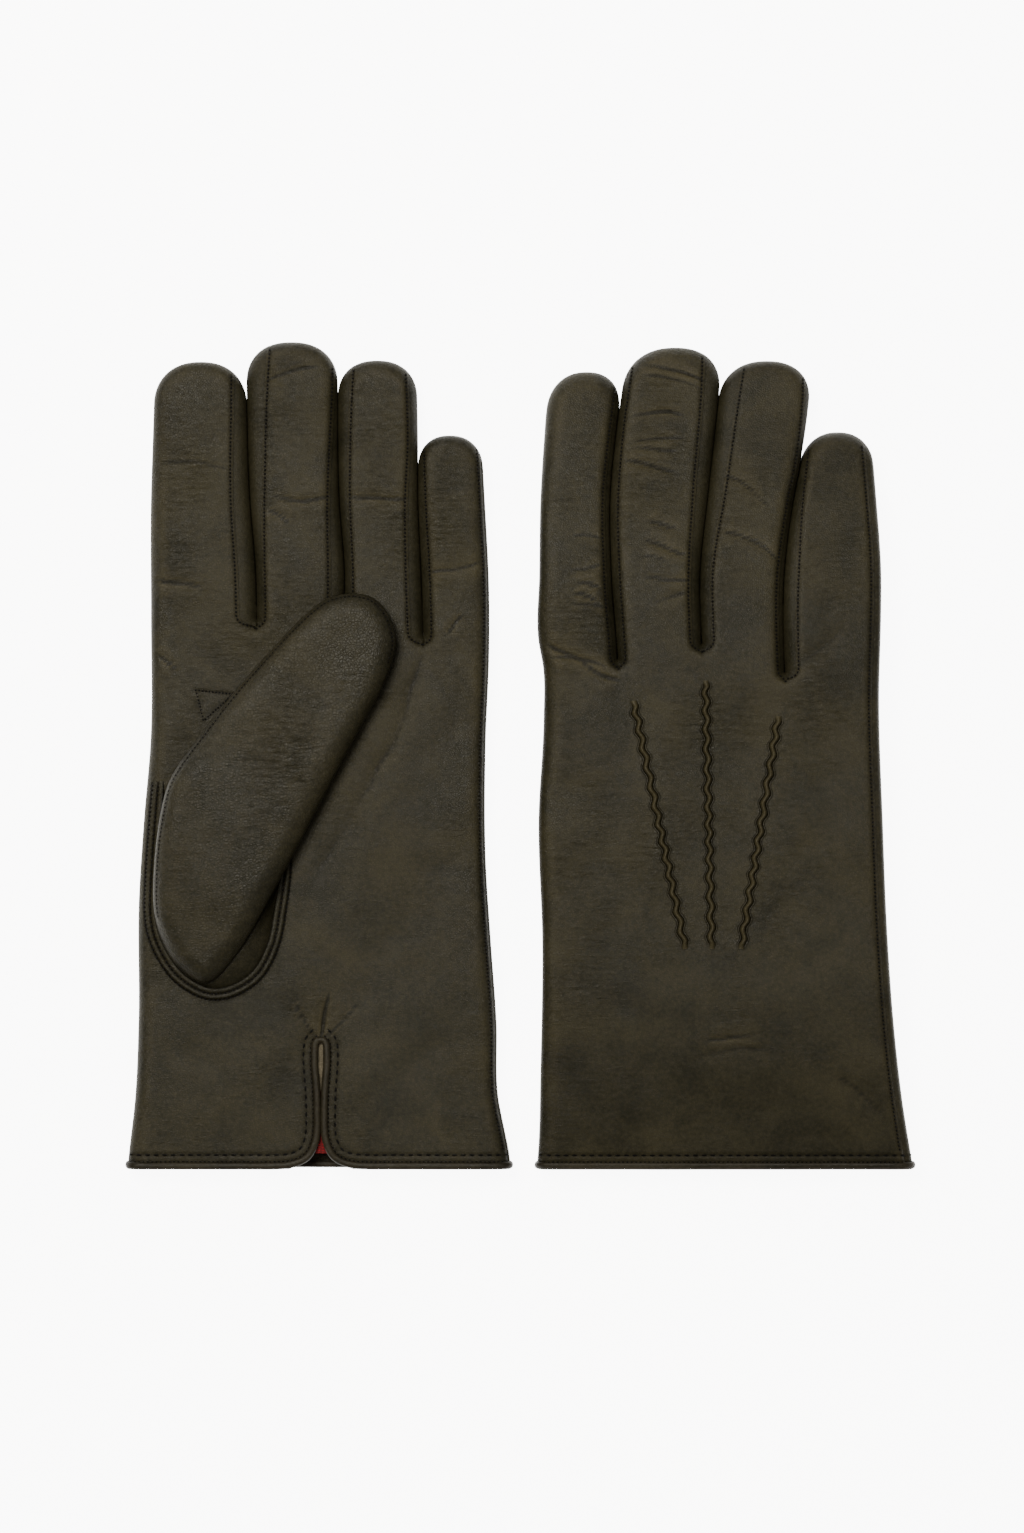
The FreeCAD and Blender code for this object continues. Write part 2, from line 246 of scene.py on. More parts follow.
@dataclass(frozen=True)
class Crease:
    """A crease pressed into one face of a glove.

    Attributes:
        start: where it starts in plan.
        end: where it ends.
        depth: how deep it is, in millimetres; below 0 it is a soft ridge.
        width: half its width.
        bow: how far its middle stands off the straight line, towards its left.
        side: the face that it lies on.
    """

    start: tuple[float, float]
    end: tuple[float, float]
    depth: float
    width: float
    bow: float
    side: Side

    def press(self, x: np.ndarray, y: np.ndarray) -> np.ndarray:
        """How far the crease moves the surface outwards.

        Args:
            x: places across the plan.
            y: places along it.

        Returns:
            Millimetres, mostly below 0.
        """
        ax, ay = self.start
        dx, dy = self.end[0] - ax, self.end[1] - ay
        length = math.hypot(dx, dy)
        t = ((x - ax) * dx + (y - ay) * dy) / length**2
        off = ((y - ay) * dx - (x - ax) * dy) / length - self.bow * 4 * t * (1 - t)
        swell = 1 + 0.6 * np.sin(t * length / 3.1 + ay)
        off = off + 0.4 * min(self.width, 1.2) * np.sin(t * length / 4.6 + ax) * swell
        ends = smooth((t + 0.2) / 0.45) * smooth((1.2 - t) / 0.45)
        wide = self.width * (0.55 + 0.45 * ends)
        valley = np.exp(-np.abs(off / (0.62 * wide)) ** 1.5)
        lips = np.exp(-(((np.abs(off) - 2.6 * wide) / (1.6 * wide)) ** 2))
        uneven = 0.75 + 0.25 * np.sin(t * length / 4.1 + 2 * ax)
        return ends * self.depth * (0.22 * lips - 0.5 * valley) * uneven


def creases_on(side: Side, *sizes: tuple[tuple[float, float], tuple[float, float], float, float, float]
               ) -> tuple[Crease, ...]:
    """Creases on one face, each given as its start, end, depth, width and bow."""
    return tuple(Crease(*size, side) for size in sizes)


# ------------------------------------------------------------------ a glove's plan
@dataclass(frozen=True)
class Tip:
    """A fingertip: its y, how far down it its rounding starts, and how square it is."""

    y: float
    rounding: float
    squareness: float = 2.3


@dataclass(frozen=True)
class Placing:
    """Where a glove, or a piece of it, lies in the frame.

    Attributes:
        x: its plan's x = 0, in metres.
        y: its plan's y = 0, in metres.
        z: its middle, in metres.
        palm_up: which way its palm faces.
        sag: how far its middle lies towards its palm along y, in millimetres.
    """

    x: float
    y: float
    z: float
    palm_up: bool
    sag: Line | None = None

    def place(self, points: np.ndarray) -> np.ndarray:
        """Carries plan points, in millimetres, into the frame, in metres."""
        turn = 1.0 if self.palm_up else -1.0
        z = points[:, 2] + (self.sag.at(points[:, 1]) if self.sag else 0.0)
        x, y = points[:, 0], points[:, 1]
        return np.column_stack([self.x + x * MM, self.y + y * MM, self.z + turn * z * MM])


@dataclass(frozen=True)
class Row:
    """A row of stitches in plan: its path, the face that it is on, and the distance between stitches."""

    path: np.ndarray
    side: Side
    pitch: float = 1.15


@dataclass(frozen=True)
class GloveForm:
    """The soft form of a glove: its outline, its slits between fingers, its seams, and the height of its faces.

    Attributes:
        left: the forefinger's side, from the cuff to the fingertip.
        right: the little finger's side.
        slits: the middle line of each slit between fingers, and its line on down to the cuff.
        gaps: the shadowed part between the fingers' strips.
        crotch: where each slit ends, on each face.
        tips: the fingertips.
        strips: how much of the side strips shows on each face, to the left and right of each slit.
        seam_face: the face that the little finger's side seam shows on.
        seam_inset: how far in from the edge it shows.
        half_height: half the height of the glove.
        edge: how far in from the outline its edge is rounded.
        air: the air between two fingers; below 0 they press into each other.
        split: where the fingers' own pieces start.
        vent: half the width of the slit in the palm side of the cuff.
        vent_top: where that slit ends.
        vent_edge: one side of the slit's rolled edge, as (how far from its middle, y).
        hem_insets: how far in the near and the far row of stitches beside the cuff's edge lie.
        hem_pitches: the distance between stitches of the same rows.
        stitch_inset: how far inside a panel's edge its row of stitches lies.
        quirk: the corners of the small triangle let in beside the thumb.
        creases: the creases.
        seed: which noise its undulations take.
    """

    left: Line
    right: Line
    slits: tuple[Line, Line, Line]
    gaps: tuple[Line, Line, Line]
    crotch: dict[Side, tuple[float, float, float]]
    tips: tuple[Tip, Tip, Tip, Tip]
    strips: dict[Side, tuple[tuple[Line, Line], ...]]
    seam_face: Side
    seam_inset: float
    creases: tuple[Crease, ...]
    seed: float
    half_height: float = 5.5
    edge: float = 6.5
    air: float = -0.08
    split: float = 168.0
    vent: Line = Line(((0, 9.0), (1.5, 5.6), (4, 2.6), (8, 1.0), (12, 0.3), (24, 0.35), (30, 0.8), (37, 0.9),
                       (40, 0.9)))
    vent_top: float = 38.0
    vent_edge: tuple[tuple[float, float], ...] = (
        (0.0, 37.9), (0.6, 37.3), (0.85, 36), (0.9, 33), (0.8, 30), (0.3, 24), (0.12, 18), (0.14, 12), (0.7, 8),
        (2.5, 4), (5.0, 1.8), (9.0, 0.4), (14, 0.0))
    hem_insets: tuple[float, float] = (2.1, 4.2)
    hem_pitches: tuple[float, float] = (1.3, 2.6)
    stitch_inset: float = 0.85
    quirk: tuple[tuple[float, float], ...] = ((-36.6, 142.7), (-25.5, 141.6), (-34.3, 133.6))

    def span(self, finger: int, y: np.ndarray) -> tuple[np.ndarray, np.ndarray]:
        """The left and right x of a finger's band, with the air beside it."""
        left = self.left.at(y) if finger == 0 else self.slits[finger - 1].at(y) + self.air / 2
        right = self.right.at(y) if finger == 3 else self.slits[finger].at(y) - self.air / 2
        return left, right

    def side_distance(self, slit: int, x: np.ndarray, y: np.ndarray, side: Side, towards: int) -> np.ndarray:
        """How far a place is from the edge of a slit, or from where the slit starts.

        Args:
            slit: which slit.
            x: places across.
            y: places along.
            side: the face.
            towards: -1 for the slit's left edge, 1 for its right one.

        Returns:
            The distances in millimetres.
        """
        start = self.crotch[side][slit] + 2.2
        middle = self.slits[slit].at(y)
        gap = self.air / 2 * smooth((y - start) / 5)
        beyond = towards * (x - middle) - gap
        below = np.hypot(np.maximum(0.0, towards * (x - middle)), np.maximum(0.0, start - y))
        return np.where(y > start, beyond, below)

    def depth(self, finger: np.ndarray, x: np.ndarray, y: np.ndarray, side: Side) -> np.ndarray:
        """How far inside the outline places are, in millimetres."""
        result = np.zeros_like(x)
        for k in range(4):
            here = finger == k
            if not here.any():
                continue
            a, b = x[here], y[here]
            to_left = a - self.left.at(b) if k == 0 else self.side_distance(k - 1, a, b, side, 1)
            to_right = self.right.at(b) - a if k == 3 else self.side_distance(k, a, b, side, -1)
            lo, hi = self.span(k, b)
            half = (hi - lo) / 2
            tip = self.tips[k]
            across = np.clip(1 - np.minimum(to_left, to_right) / half, 0, 1)
            up = np.clip((b - (tip.y - tip.rounding)) / tip.rounding, 0, 1)
            result[here] = (1 - (across**tip.squareness + up**tip.squareness) ** (1 / tip.squareness)) * half
        return np.maximum(result, 0.0)

    def finger_at(self, x: np.ndarray, y: np.ndarray) -> np.ndarray:
        """Which finger's band places are in, from 0, the forefinger's."""
        return sum((x > slit.at(y)).astype(int) for slit in self.slits)

    @cached_property
    def rows(self) -> tuple[Row, ...]:
        """The rows of stitches on the leather."""
        found = [row for side in Side for row in self.hem_rows(side)]
        inside = self.stitch_inset
        for side in Side:
            for slit in range(3):
                ends = []
                crotch = self.crotch[side][slit]
                for towards in (-1, 1):
                    y = np.linspace(crotch - inside, self.seam_end(slit, towards, side), 160)
                    off = self.opening(side, slit, towards, y) + inside * smooth((y - crotch + inside) / 2.5)
                    ends.append(np.column_stack([self.slits[slit].at(y) + towards * off, y]))
                found.append(Row(resample(np.vstack([ends[0][::-1], ends[1][1:]]), 0.3), side))
        corners = np.array(self.quirk + self.quirk[:1])
        found.append(Row(resample(corners, 0.3), Side.PALM, 1.0))
        y = np.linspace(6, self.tips[3].y - self.tips[3].rounding * 0.45, 220)
        found.append(Row(np.column_stack([self.right.at(y) - self.seam_inset - 0.9, y]), self.seam_face))
        return tuple(found)

    def hem_rows(self, side: Side) -> list[Row]:
        """The two rows beside the cuff's edge, on one face."""
        found = []
        first, last = self.left.at(0.0) + 1, self.right.at(0.0) - 1
        for inset, pitch in zip(self.hem_insets, self.hem_pitches):
            if side is Side.BACK:
                x = np.linspace(first, last, 300)
                found.append(Row(np.column_stack([x, np.full(300, inset)]), side, pitch))
                continue
            for towards in (-1, 1):
                path = beside(self.vent_side(towards), towards * inset)
                x = path[:, 0]
                inner = towards * x > towards * self.vent_centre + 0.2
                found.append(Row(path[inner & (x > first) & (x < last)], side, pitch))
        return found

    @property
    def vent_centre(self) -> float:
        """The x of the slit in the cuff."""
        return float(self.slits[1].at(20.0))

    def vent_side(self, towards: int) -> np.ndarray:
        """One side of the opening's edge on the palm face, from the top of the vent to the outline."""
        side = [(self.vent_centre + towards * half, y) for half, y in self.vent_edge]
        end = float(self.right.at(0.0) if towards > 0 else self.left.at(0.0))
        side += [(x, 0.0) for x in np.linspace(self.vent_centre + towards * 22, end, 6)]
        return spline(side, 0.3)

    @cached_property
    def stitch_trees(self) -> dict[Side, tuple[KDTree, np.ndarray]]:
        """For each face, its rows' points and how far along its stitch each one is."""
        trees = {}
        for side in Side:
            points, phase = [], []
            for row in self.rows:
                if row.side is side:
                    path = resample(row.path, 0.3)
                    points.append(path)
                    phase.append(np.arange(len(path)) * 0.3 / row.pitch)
            trees[side] = (tree_of(np.vstack(points)), np.concatenate(phase))
        return trees

    def seam_distance(self, x: np.ndarray, y: np.ndarray, side: Side) -> tuple[np.ndarray, np.ndarray]:
        """How far places are from the nearest row of stitches, and how far along its stitch it is there."""
        tree, phase = self.stitch_trees[side]
        found = [tree.find((a, b, 0.0)) for a, b in zip(x, y)]
        return np.array([f[2] for f in found]), phase[[f[1] for f in found]]

    def opening(self, side: Side, slit: int, towards: int, y: np.ndarray) -> np.ndarray:
        """How far a panel's edge stands off the slit's middle line, the side strip and half the air.

        Args:
            side: the face.
            slit: which slit.
            towards: -1 for the panel on its left, 1 for the one on its right.
            y: places along.

        Returns:
            The distances in millimetres.
        """
        full = self.seam_off(slit, towards, side, y) + self.air / 2
        opened = full * round_in((y - self.crotch[side][slit]) / 3.5)
        if slit == 1 and side is Side.PALM:
            closing = round_in((self.vent_top - y) / 1.5)
            opened = opened + np.where(y < self.vent_top, (self.vent.at(y) + 0.5) * closing, 0.0)
        return opened

    def seam_off(self, slit: int, towards: int, side: Side, y: np.ndarray) -> np.ndarray:
        """How far a panel's edge lies from the side of its finger."""
        return self.strips[side][slit][(towards + 1) // 2].at(y) + (self.gaps[slit].at(y) - self.air) / 2

    def seam_end(self, slit: int, towards: int, side: Side) -> float:
        """The y at which a seam beside a slit reaches the fingertip's outline."""
        finger = slit if towards < 0 else slit + 1
        tip = self.tips[finger]
        lo, hi = self.span(finger, np.array(tip.y - tip.rounding / 2))
        half = float(hi - lo) / 2
        across = 1 - (float(self.seam_off(slit, towards, side, np.array(tip.y))) + 1.0) / half
        return tip.y - tip.rounding * (1 - (1 - across**tip.squareness) ** (1 / tip.squareness)) - 2.0

    def panel_edges(self, side: Side, finger: int, y: np.ndarray) -> tuple[np.ndarray, np.ndarray]:
        """The left and right x of a finger's panel on one face."""
        if finger == 0:
            left = self.left.at(y)
        else:
            left = self.slits[finger - 1].at(y) + self.opening(side, finger - 1, 1, y)
        if finger < 3:
            right = self.slits[finger].at(y) - self.opening(side, finger, -1, y)
        else:
            right = self.right.at(y) - (self.seam_inset if side is self.seam_face else 0.0)
        return left, right

    def ground(self, x: np.ndarray, y: np.ndarray, side: Side, finger: np.ndarray | None = None
               ) -> np.ndarray:
        """The height of a face above the glove's middle, without its seams' grooves.

        Args:
            x: places across.
            y: places along.
            side: the face.
            finger: the bands that the places are in, where known.

        Returns:
            The heights in millimetres, never below 0.
        """
        x, y = np.asarray(x, float), np.asarray(y, float)
        band = self.finger_at(x, y) if finger is None else finger
        inside = self.depth(band, x, y, side)
        height = self.half_height * (0.86 + 0.14 * smooth(y / 30)) * pillowed(inside / self.edge)
        seed = self.seed + side.value
        soft = 0.6 * ripple(x, y, 27.0, seed) + 0.16 * ripple(x, y, 9.0, self.seed + 7 + side.value)
        for crease in self.creases:
            if crease.side is side:
                soft = soft + crease.press(x, y)
        return np.maximum(height + soft * smooth(inside / 4.5), 0.0)

    def bend(self, x: np.ndarray, y: np.ndarray, side: Side) -> np.ndarray:
        """How sharply a face bends at places: above 0 on a ridge, below it in a hollow."""
        band, step = self.finger_at(x, y), 0.7
        moves = ((step, 0), (-step, 0), (0, step), (0, -step))
        around = sum(self.ground(x + a, y + b, side, band) for a, b in moves)
        inside = self.depth(band, x, y, side)
        bent = (self.ground(x, y, side, band) - around / 4) / (0.12 * step)
        return np.clip(bent, -1, 1) * smooth((inside - 1.5) / 3)

    def surface(self, x: np.ndarray, y: np.ndarray, side: Side, finger: np.ndarray) -> np.ndarray:
        """The height of a face with its seams' grooves, given the bands that the places are in."""
        away, phase = self.seam_distance(x, y, side)
        near = np.exp(-((away / 0.55) ** 2))
        groove = near * (0.26 + 0.1 * np.cos(2 * math.pi * phase))
        return np.maximum(self.ground(x, y, side, finger) - groove, 0.0)


# ------------------------------------------------------------------ making meshes
def new_sheet(columns: np.ndarray, rows: np.ndarray, place: Callable[[np.ndarray, np.ndarray], np.ndarray]
              ) -> bmesh.types.BMesh:
    """A sheet of quads whose points a function gives.

    Args:
        columns: the shares across, from 0 to 1, at which it has lines of vertices.
        rows: the same along it.
        place: takes the shares across and along of all vertices, and gives their points.

    Returns:
        The sheet.
    """
    bm = bmesh.new()
    bmesh.ops.create_grid(bm, x_segments=len(columns) - 1, y_segments=len(rows) - 1, size=0.5)
    at = np.array([v.co for v in bm.verts])
    u = columns[np.rint((at[:, 0] + 0.5) * (len(columns) - 1)).astype(int)]
    v = rows[np.rint((at[:, 1] + 0.5) * (len(rows) - 1)).astype(int)]
    for vert, point in zip(bm.verts, place(u, v)):
        vert.co = point
    return bm


def merged(sheets: Sequence[bmesh.types.BMesh], weld: float = 0.0) -> bmesh.types.BMesh:
    """Several meshes as one; the separate ones are freed.

    Args:
        sheets: the meshes.
        weld: vertices closer together than this become one, in millimetres.

    Returns:
        The one mesh.
    """
    whole = bmesh.new()
    for sheet in sheets:
        part = bpy.data.meshes.new("part")
        sheet.to_mesh(part)
        whole.from_mesh(part)
        sheet.free()
        bpy.data.meshes.remove(part)
    if weld:
        bmesh.ops.remove_doubles(whole, verts=whole.verts, dist=weld)
    return whole


def face_out(bm: bmesh.types.BMesh, outward: Callable[[Vector], Vector]) -> bmesh.types.BMesh:
    """Turns a sheet's faces outwards.

    Args:
        bm: the sheet.
        outward: takes a point of it and gives roughly which way is out there.

    Returns:
        The same mesh.
    """
    bmesh.ops.recalc_face_normals(bm, faces=bm.faces)
    if sum(f.normal.dot(outward(f.calc_center_median())) * f.calc_area() for f in bm.faces) < 0:
        bmesh.ops.reverse_faces(bm, faces=bm.faces)
    return bm


def thicken(bm: bmesh.types.BMesh, thickness: float, open_edge: Callable[[Vector], bool] | None = None
            ) -> bmesh.types.BMesh:
    """Gives a sheet thickness inwards.

    Args:
        bm: the sheet, facing outwards.
        thickness: in millimetres.
        open_edge: takes a point, and says whether a border there stays open.

    Returns:
        The same mesh.
    """
    bm.normal_update()
    count = len(bm.verts)
    bmesh.ops.solidify(bm, geom=bm.faces[:], thickness=thickness)
    if open_edge:
        bm.verts.index_update()
        rims = []
        for face in bm.faces:
            first = [v for v in face.verts if v.index < count]
            if first and len(first) < len(face.verts) and all(open_edge(v.co) for v in first):
                rims.append(face)
        bmesh.ops.delete(bm, geom=rims, context="FACES")
    return bm


def points_of(bm: bmesh.types.BMesh) -> np.ndarray:
    """A mesh's points."""
    return np.array([v.co for v in bm.verts], float)


def sweep(path: np.ndarray, out: np.ndarray, up: np.ndarray, section: Sequence[tuple[float, float]]
          ) -> bmesh.types.BMesh:
    """A section carried along a path.

    Args:
        path: the path's points.
        out: the direction of the section's first measure at each point.
        up: the direction of its second measure.
        section: the section's points as (out, up).

    Returns:
        The swept sheet.
    """
    shape = np.array(section, float)
    steps = np.arange(len(path)) / (len(path) - 1)
    turns = np.arange(len(shape)) / (len(shape) - 1)

    def place(u: np.ndarray, v: np.ndarray) -> np.ndarray:
        """The swept points."""
        i = np.rint(u * (len(path) - 1)).astype(int)
        j = np.rint(v * (len(shape) - 1)).astype(int)
        return path[i] + out[i] * shape[j, :1] + up[i] * shape[j, 1:]

    bm = new_sheet(steps, turns, place)
    bmesh.ops.remove_doubles(bm, verts=bm.verts, dist=1e-4)
    bmesh.ops.recalc_face_normals(bm, faces=bm.faces)
    return bm


def make_object(name: str, bm: bmesh.types.BMesh, placing: Placing, material: bpy.types.Material,
                values: dict[str, np.ndarray] | None = None, sharp: float = 48.0) -> bpy.types.Object:
    """A finished object at the origin from a mesh in plan millimetres; the mesh is freed.

    Args:
        name: its name.
        bm: its mesh.
        placing: what carries the plan into the frame.
        material: its material.
        values: point attributes for the material.
        sharp: edges that turn by more than this many degrees are shaded sharp.

    Returns:
        The object, linked to the scene.
    """
    mesh = bpy.data.meshes.new(name)
    bm.to_mesh(mesh)
    bm.free()
    points = np.zeros(len(mesh.vertices) * 3, np.float32)
    mesh.vertices.foreach_get("co", points)
    placed = placing.place(points.reshape(-1, 3).astype(float))
    mesh.vertices.foreach_set("co", placed.astype(np.float32).ravel())
    if not placing.palm_up:
        mesh.flip_normals()
    mesh.shade_smooth()
    mesh.set_sharp_from_angle(angle=math.radians(sharp))
    for key, value in (values or {}).items():
        mesh.attributes.new(key, "FLOAT", "POINT").data.foreach_set("value", np.asarray(value, np.float32))
    mesh.materials.append(material)
    mesh.update()
    obj = bpy.data.objects.new(name, mesh)
    bpy.context.scene.collection.objects.link(obj)
    log.info("%s: %d faces", name, len(mesh.polygons))
    return obj


def shares(count: int, crowd: float = 0.0) -> np.ndarray:
    """Shares from 0 to 1, closer together near both ends.

    Args:
        count: how many.
        crowd: from 0, even, to nearly 1, much closer at the ends.

    Returns:
        The shares.
    """
    t = np.linspace(0, 1, count)
    return t - crowd * np.sin(2 * math.pi * t) / (2 * math.pi)


# ------------------------------------------------------------------ finishes
@dataclass(frozen=True)
class Finish:
    """What a surface looks like.

    Attributes:
        colour: its linear colour.
        dark: its colour in its pores and knit, and the colour of painted shade in seams, in hollows and between the
            fingers.
        light: its colour where it is rubbed, and of the painted highlight on the back's raised lines.
        roughness: how matt it is.
        grain: the size of its grain, in millimetres.
        relief: how strong the grain is.
        fuzz: how much it is covered with fine fibres.
    """

    colour: tuple[float, float, float]
    dark: tuple[float, float, float]
    light: tuple[float, float, float]
    roughness: float
    grain: float
    relief: float
    fuzz: float = 0.0


def srgb(red: float, green: float, blue: float) -> tuple[float, float, float]:
    """A linear colour from sRGB parts of 255."""
    parts = (c / 255 for c in (red, green, blue))
    return tuple(c / 12.92 if c <= 0.04045 else ((c + 0.055) / 1.055) ** 2.4 for c in parts)


class Nodes:
    """A node tree being put together."""

    def __init__(self, tree: bpy.types.NodeTree) -> None:
        """Args: tree: the tree."""
        self.tree = tree
        tree.nodes.clear()

    def add(self, kind: str, inputs: dict[str | int, object] | None = None, **settings: object) -> bpy.types.Node:
        """A new node.

        Args:
            kind: its type.
            inputs: constants or sockets for its inputs.
            settings: its own settings.

        Returns:
            The node.
        """
        node = self.tree.nodes.new(kind)
        for key, value in settings.items():
            setattr(node, key, value)
        for key, value in (inputs or {}).items():
            if isinstance(value, bpy.types.NodeSocket):
                self.tree.links.new(value, node.inputs[key])
            else:
                node.inputs[key].default_value = value
        return node

    def maths(self, operation: str, *values: object) -> bpy.types.NodeSocket:
        """The result of a sum on values or sockets."""
        return self.add("ShaderNodeMath", dict(enumerate(values)), operation=operation).outputs[0]

    def noise(self, where: bpy.types.NodeSocket, scale: float, detail: float, roughness: float = 0.5,
              distortion: float = 0.0) -> bpy.types.Node:
        """Noise over the piece."""
        return self.add("ShaderNodeTexNoise", {"Vector": where, "Scale": scale, "Detail": detail,
                                               "Roughness": roughness, "Distortion": distortion})

    def remap(self, value: bpy.types.NodeSocket, start: float, end: float, low: float = 0.0, high: float = 1.0
              ) -> bpy.types.NodeSocket:
        """A value taken from the range start to end into the range low to high."""
        return self.add("ShaderNodeMapRange", {0: value, 1: start, 2: end, 3: low, 4: high}).outputs[0]

    def mix(self, share: object, first: object, second: object) -> bpy.types.NodeSocket:
        """Two colours mixed by a share."""
        node = self.add("ShaderNodeMix", data_type="RGBA")
        for key, value in ((0, share), (6, first), (7, second)):
            if isinstance(value, bpy.types.NodeSocket):
                self.tree.links.new(value, node.inputs[key])
            else:
                node.inputs[key].default_value = (*value, 1.0) if isinstance(value, tuple) else value
        return node.outputs[2]


def grain_group() -> bpy.types.NodeTree:
    """A group that gives leather its grain's height, its slow mottling and its fine wrinkles."""
    group = bpy.data.node_groups.new("grain", "ShaderNodeTree")
    face = group.interface
    face.new_socket("Size", in_out="INPUT", socket_type="NodeSocketFloat").default_value = 0.6
    for name in ("Height", "Mottle", "Pores"):
        face.new_socket(name, in_out="OUTPUT", socket_type="NodeSocketFloat")
    n = Nodes(group)
    size = n.add("NodeGroupInput").outputs["Size"]
    where = n.add("ShaderNodeTexCoord").outputs["Object"]
    scale = n.maths("DIVIDE", 1000.0, size)
    bend = n.noise(where, 420.0, 2.0).outputs["Color"]
    moved = n.add("ShaderNodeVectorMath", {0: bend, 1: (0.7 * MM,) * 3, 2: where},
                  operation="MULTIPLY_ADD").outputs[0]
    cells = n.add("ShaderNodeTexVoronoi", {"Vector": moved, "Scale": scale, "Randomness": 1.0},
                  feature="DISTANCE_TO_EDGE").outputs["Distance"]
    rounded = n.maths("POWER", n.maths("MINIMUM", n.maths("MULTIPLY", cells, 3.2), 1.0), 0.6)
    fine = n.noise(where, 2600.0, 3.0, 0.6).outputs[0]
    wrinkle = n.noise(moved, 330.0, 4.0, 0.62, 0.8).outputs[0]
    stretched = n.add("ShaderNodeVectorMath", {0: moved, 1: (0.22, 1.0, 1.0)}, operation="MULTIPLY").outputs[0]
    cross = n.noise(stretched, 780.0, 3.0, 0.55, 1.2).outputs[0]
    gathered = n.remap(n.noise(where, 38.0, 2.0).outputs[0], 0.42, 0.66, 0.25, 1.6)
    lines = n.maths("MULTIPLY", n.maths("ABSOLUTE", n.maths("SUBTRACT", cross, 0.5)), gathered)
    height = n.maths("ADD", n.maths("ADD", n.maths("MULTIPLY", rounded, 0.5), n.maths("MULTIPLY", lines, 3.2)),
                     n.maths("ADD", n.maths("MULTIPLY", fine, 0.45), n.maths("MULTIPLY", wrinkle, 0.75)))
    slow = n.noise(where, 46.0, 5.0, 0.62, 0.6).outputs[0]
    spots = n.noise(where, 900.0, 2.0).outputs[0]
    mottle = n.maths("ADD", n.maths("MULTIPLY", slow, 0.68), n.maths("MULTIPLY", spots, 0.32))
    n.add("NodeGroupOutput", {"Height": height, "Mottle": mottle, "Pores": n.maths("SUBTRACT", 1.0, rounded)})
    return group


def wear_group() -> bpy.types.NodeTree:
    """A group that finds the ridges to lighten, as rubbed wear and as a painted highlight, and the hollows to darken
    with painted shade.
    """
    group = bpy.data.node_groups.new("wear", "ShaderNodeTree")
    for name in ("Rubbed_and_highlight", "Hollow_painted_shade"):
        group.interface.new_socket(name, in_out="OUTPUT", socket_type="NodeSocketFloat")
    n = Nodes(group)
    bend = n.add("ShaderNodeAttribute", attribute_name="bend").outputs["Fac"]
    # The first output lightens ridges, as wear on the panels and as a painted highlight on the back's raised lines; the
    # second darkens hollows with painted shade.
    n.add("NodeGroupOutput", {"Rubbed_and_highlight": n.remap(bend, 0.05, 0.6), "Hollow_painted_shade": n.remap(bend, -0.05, -0.6)})
    return group


def weave_group() -> bpy.types.NodeTree:
    """A group that gives a knit its ribs, from two waves that cross."""
    group = bpy.data.node_groups.new("weave", "ShaderNodeTree")
    for name in ("Height", "Mask"):
        group.interface.new_socket(name, in_out="OUTPUT", socket_type="NodeSocketFloat")
    n = Nodes(group)
    where = n.add("ShaderNodeTexCoord").outputs["Object"]
    waves = []
    for way, scale, distortion in (("X", 260.0, 1.2), ("Y", 330.0, 2.0)):
        inputs = {"Vector": where, "Scale": scale, "Distortion": distortion, "Detail": 1.0}
        waves.append(n.add("ShaderNodeTexWave", inputs, bands_direction=way).outputs["Fac"])
    both = n.maths("MULTIPLY", *waves)
    n.add("NodeGroupOutput", {"Height": both, "Mask": n.maths("SUBTRACT", 1.0, both)})
    return group


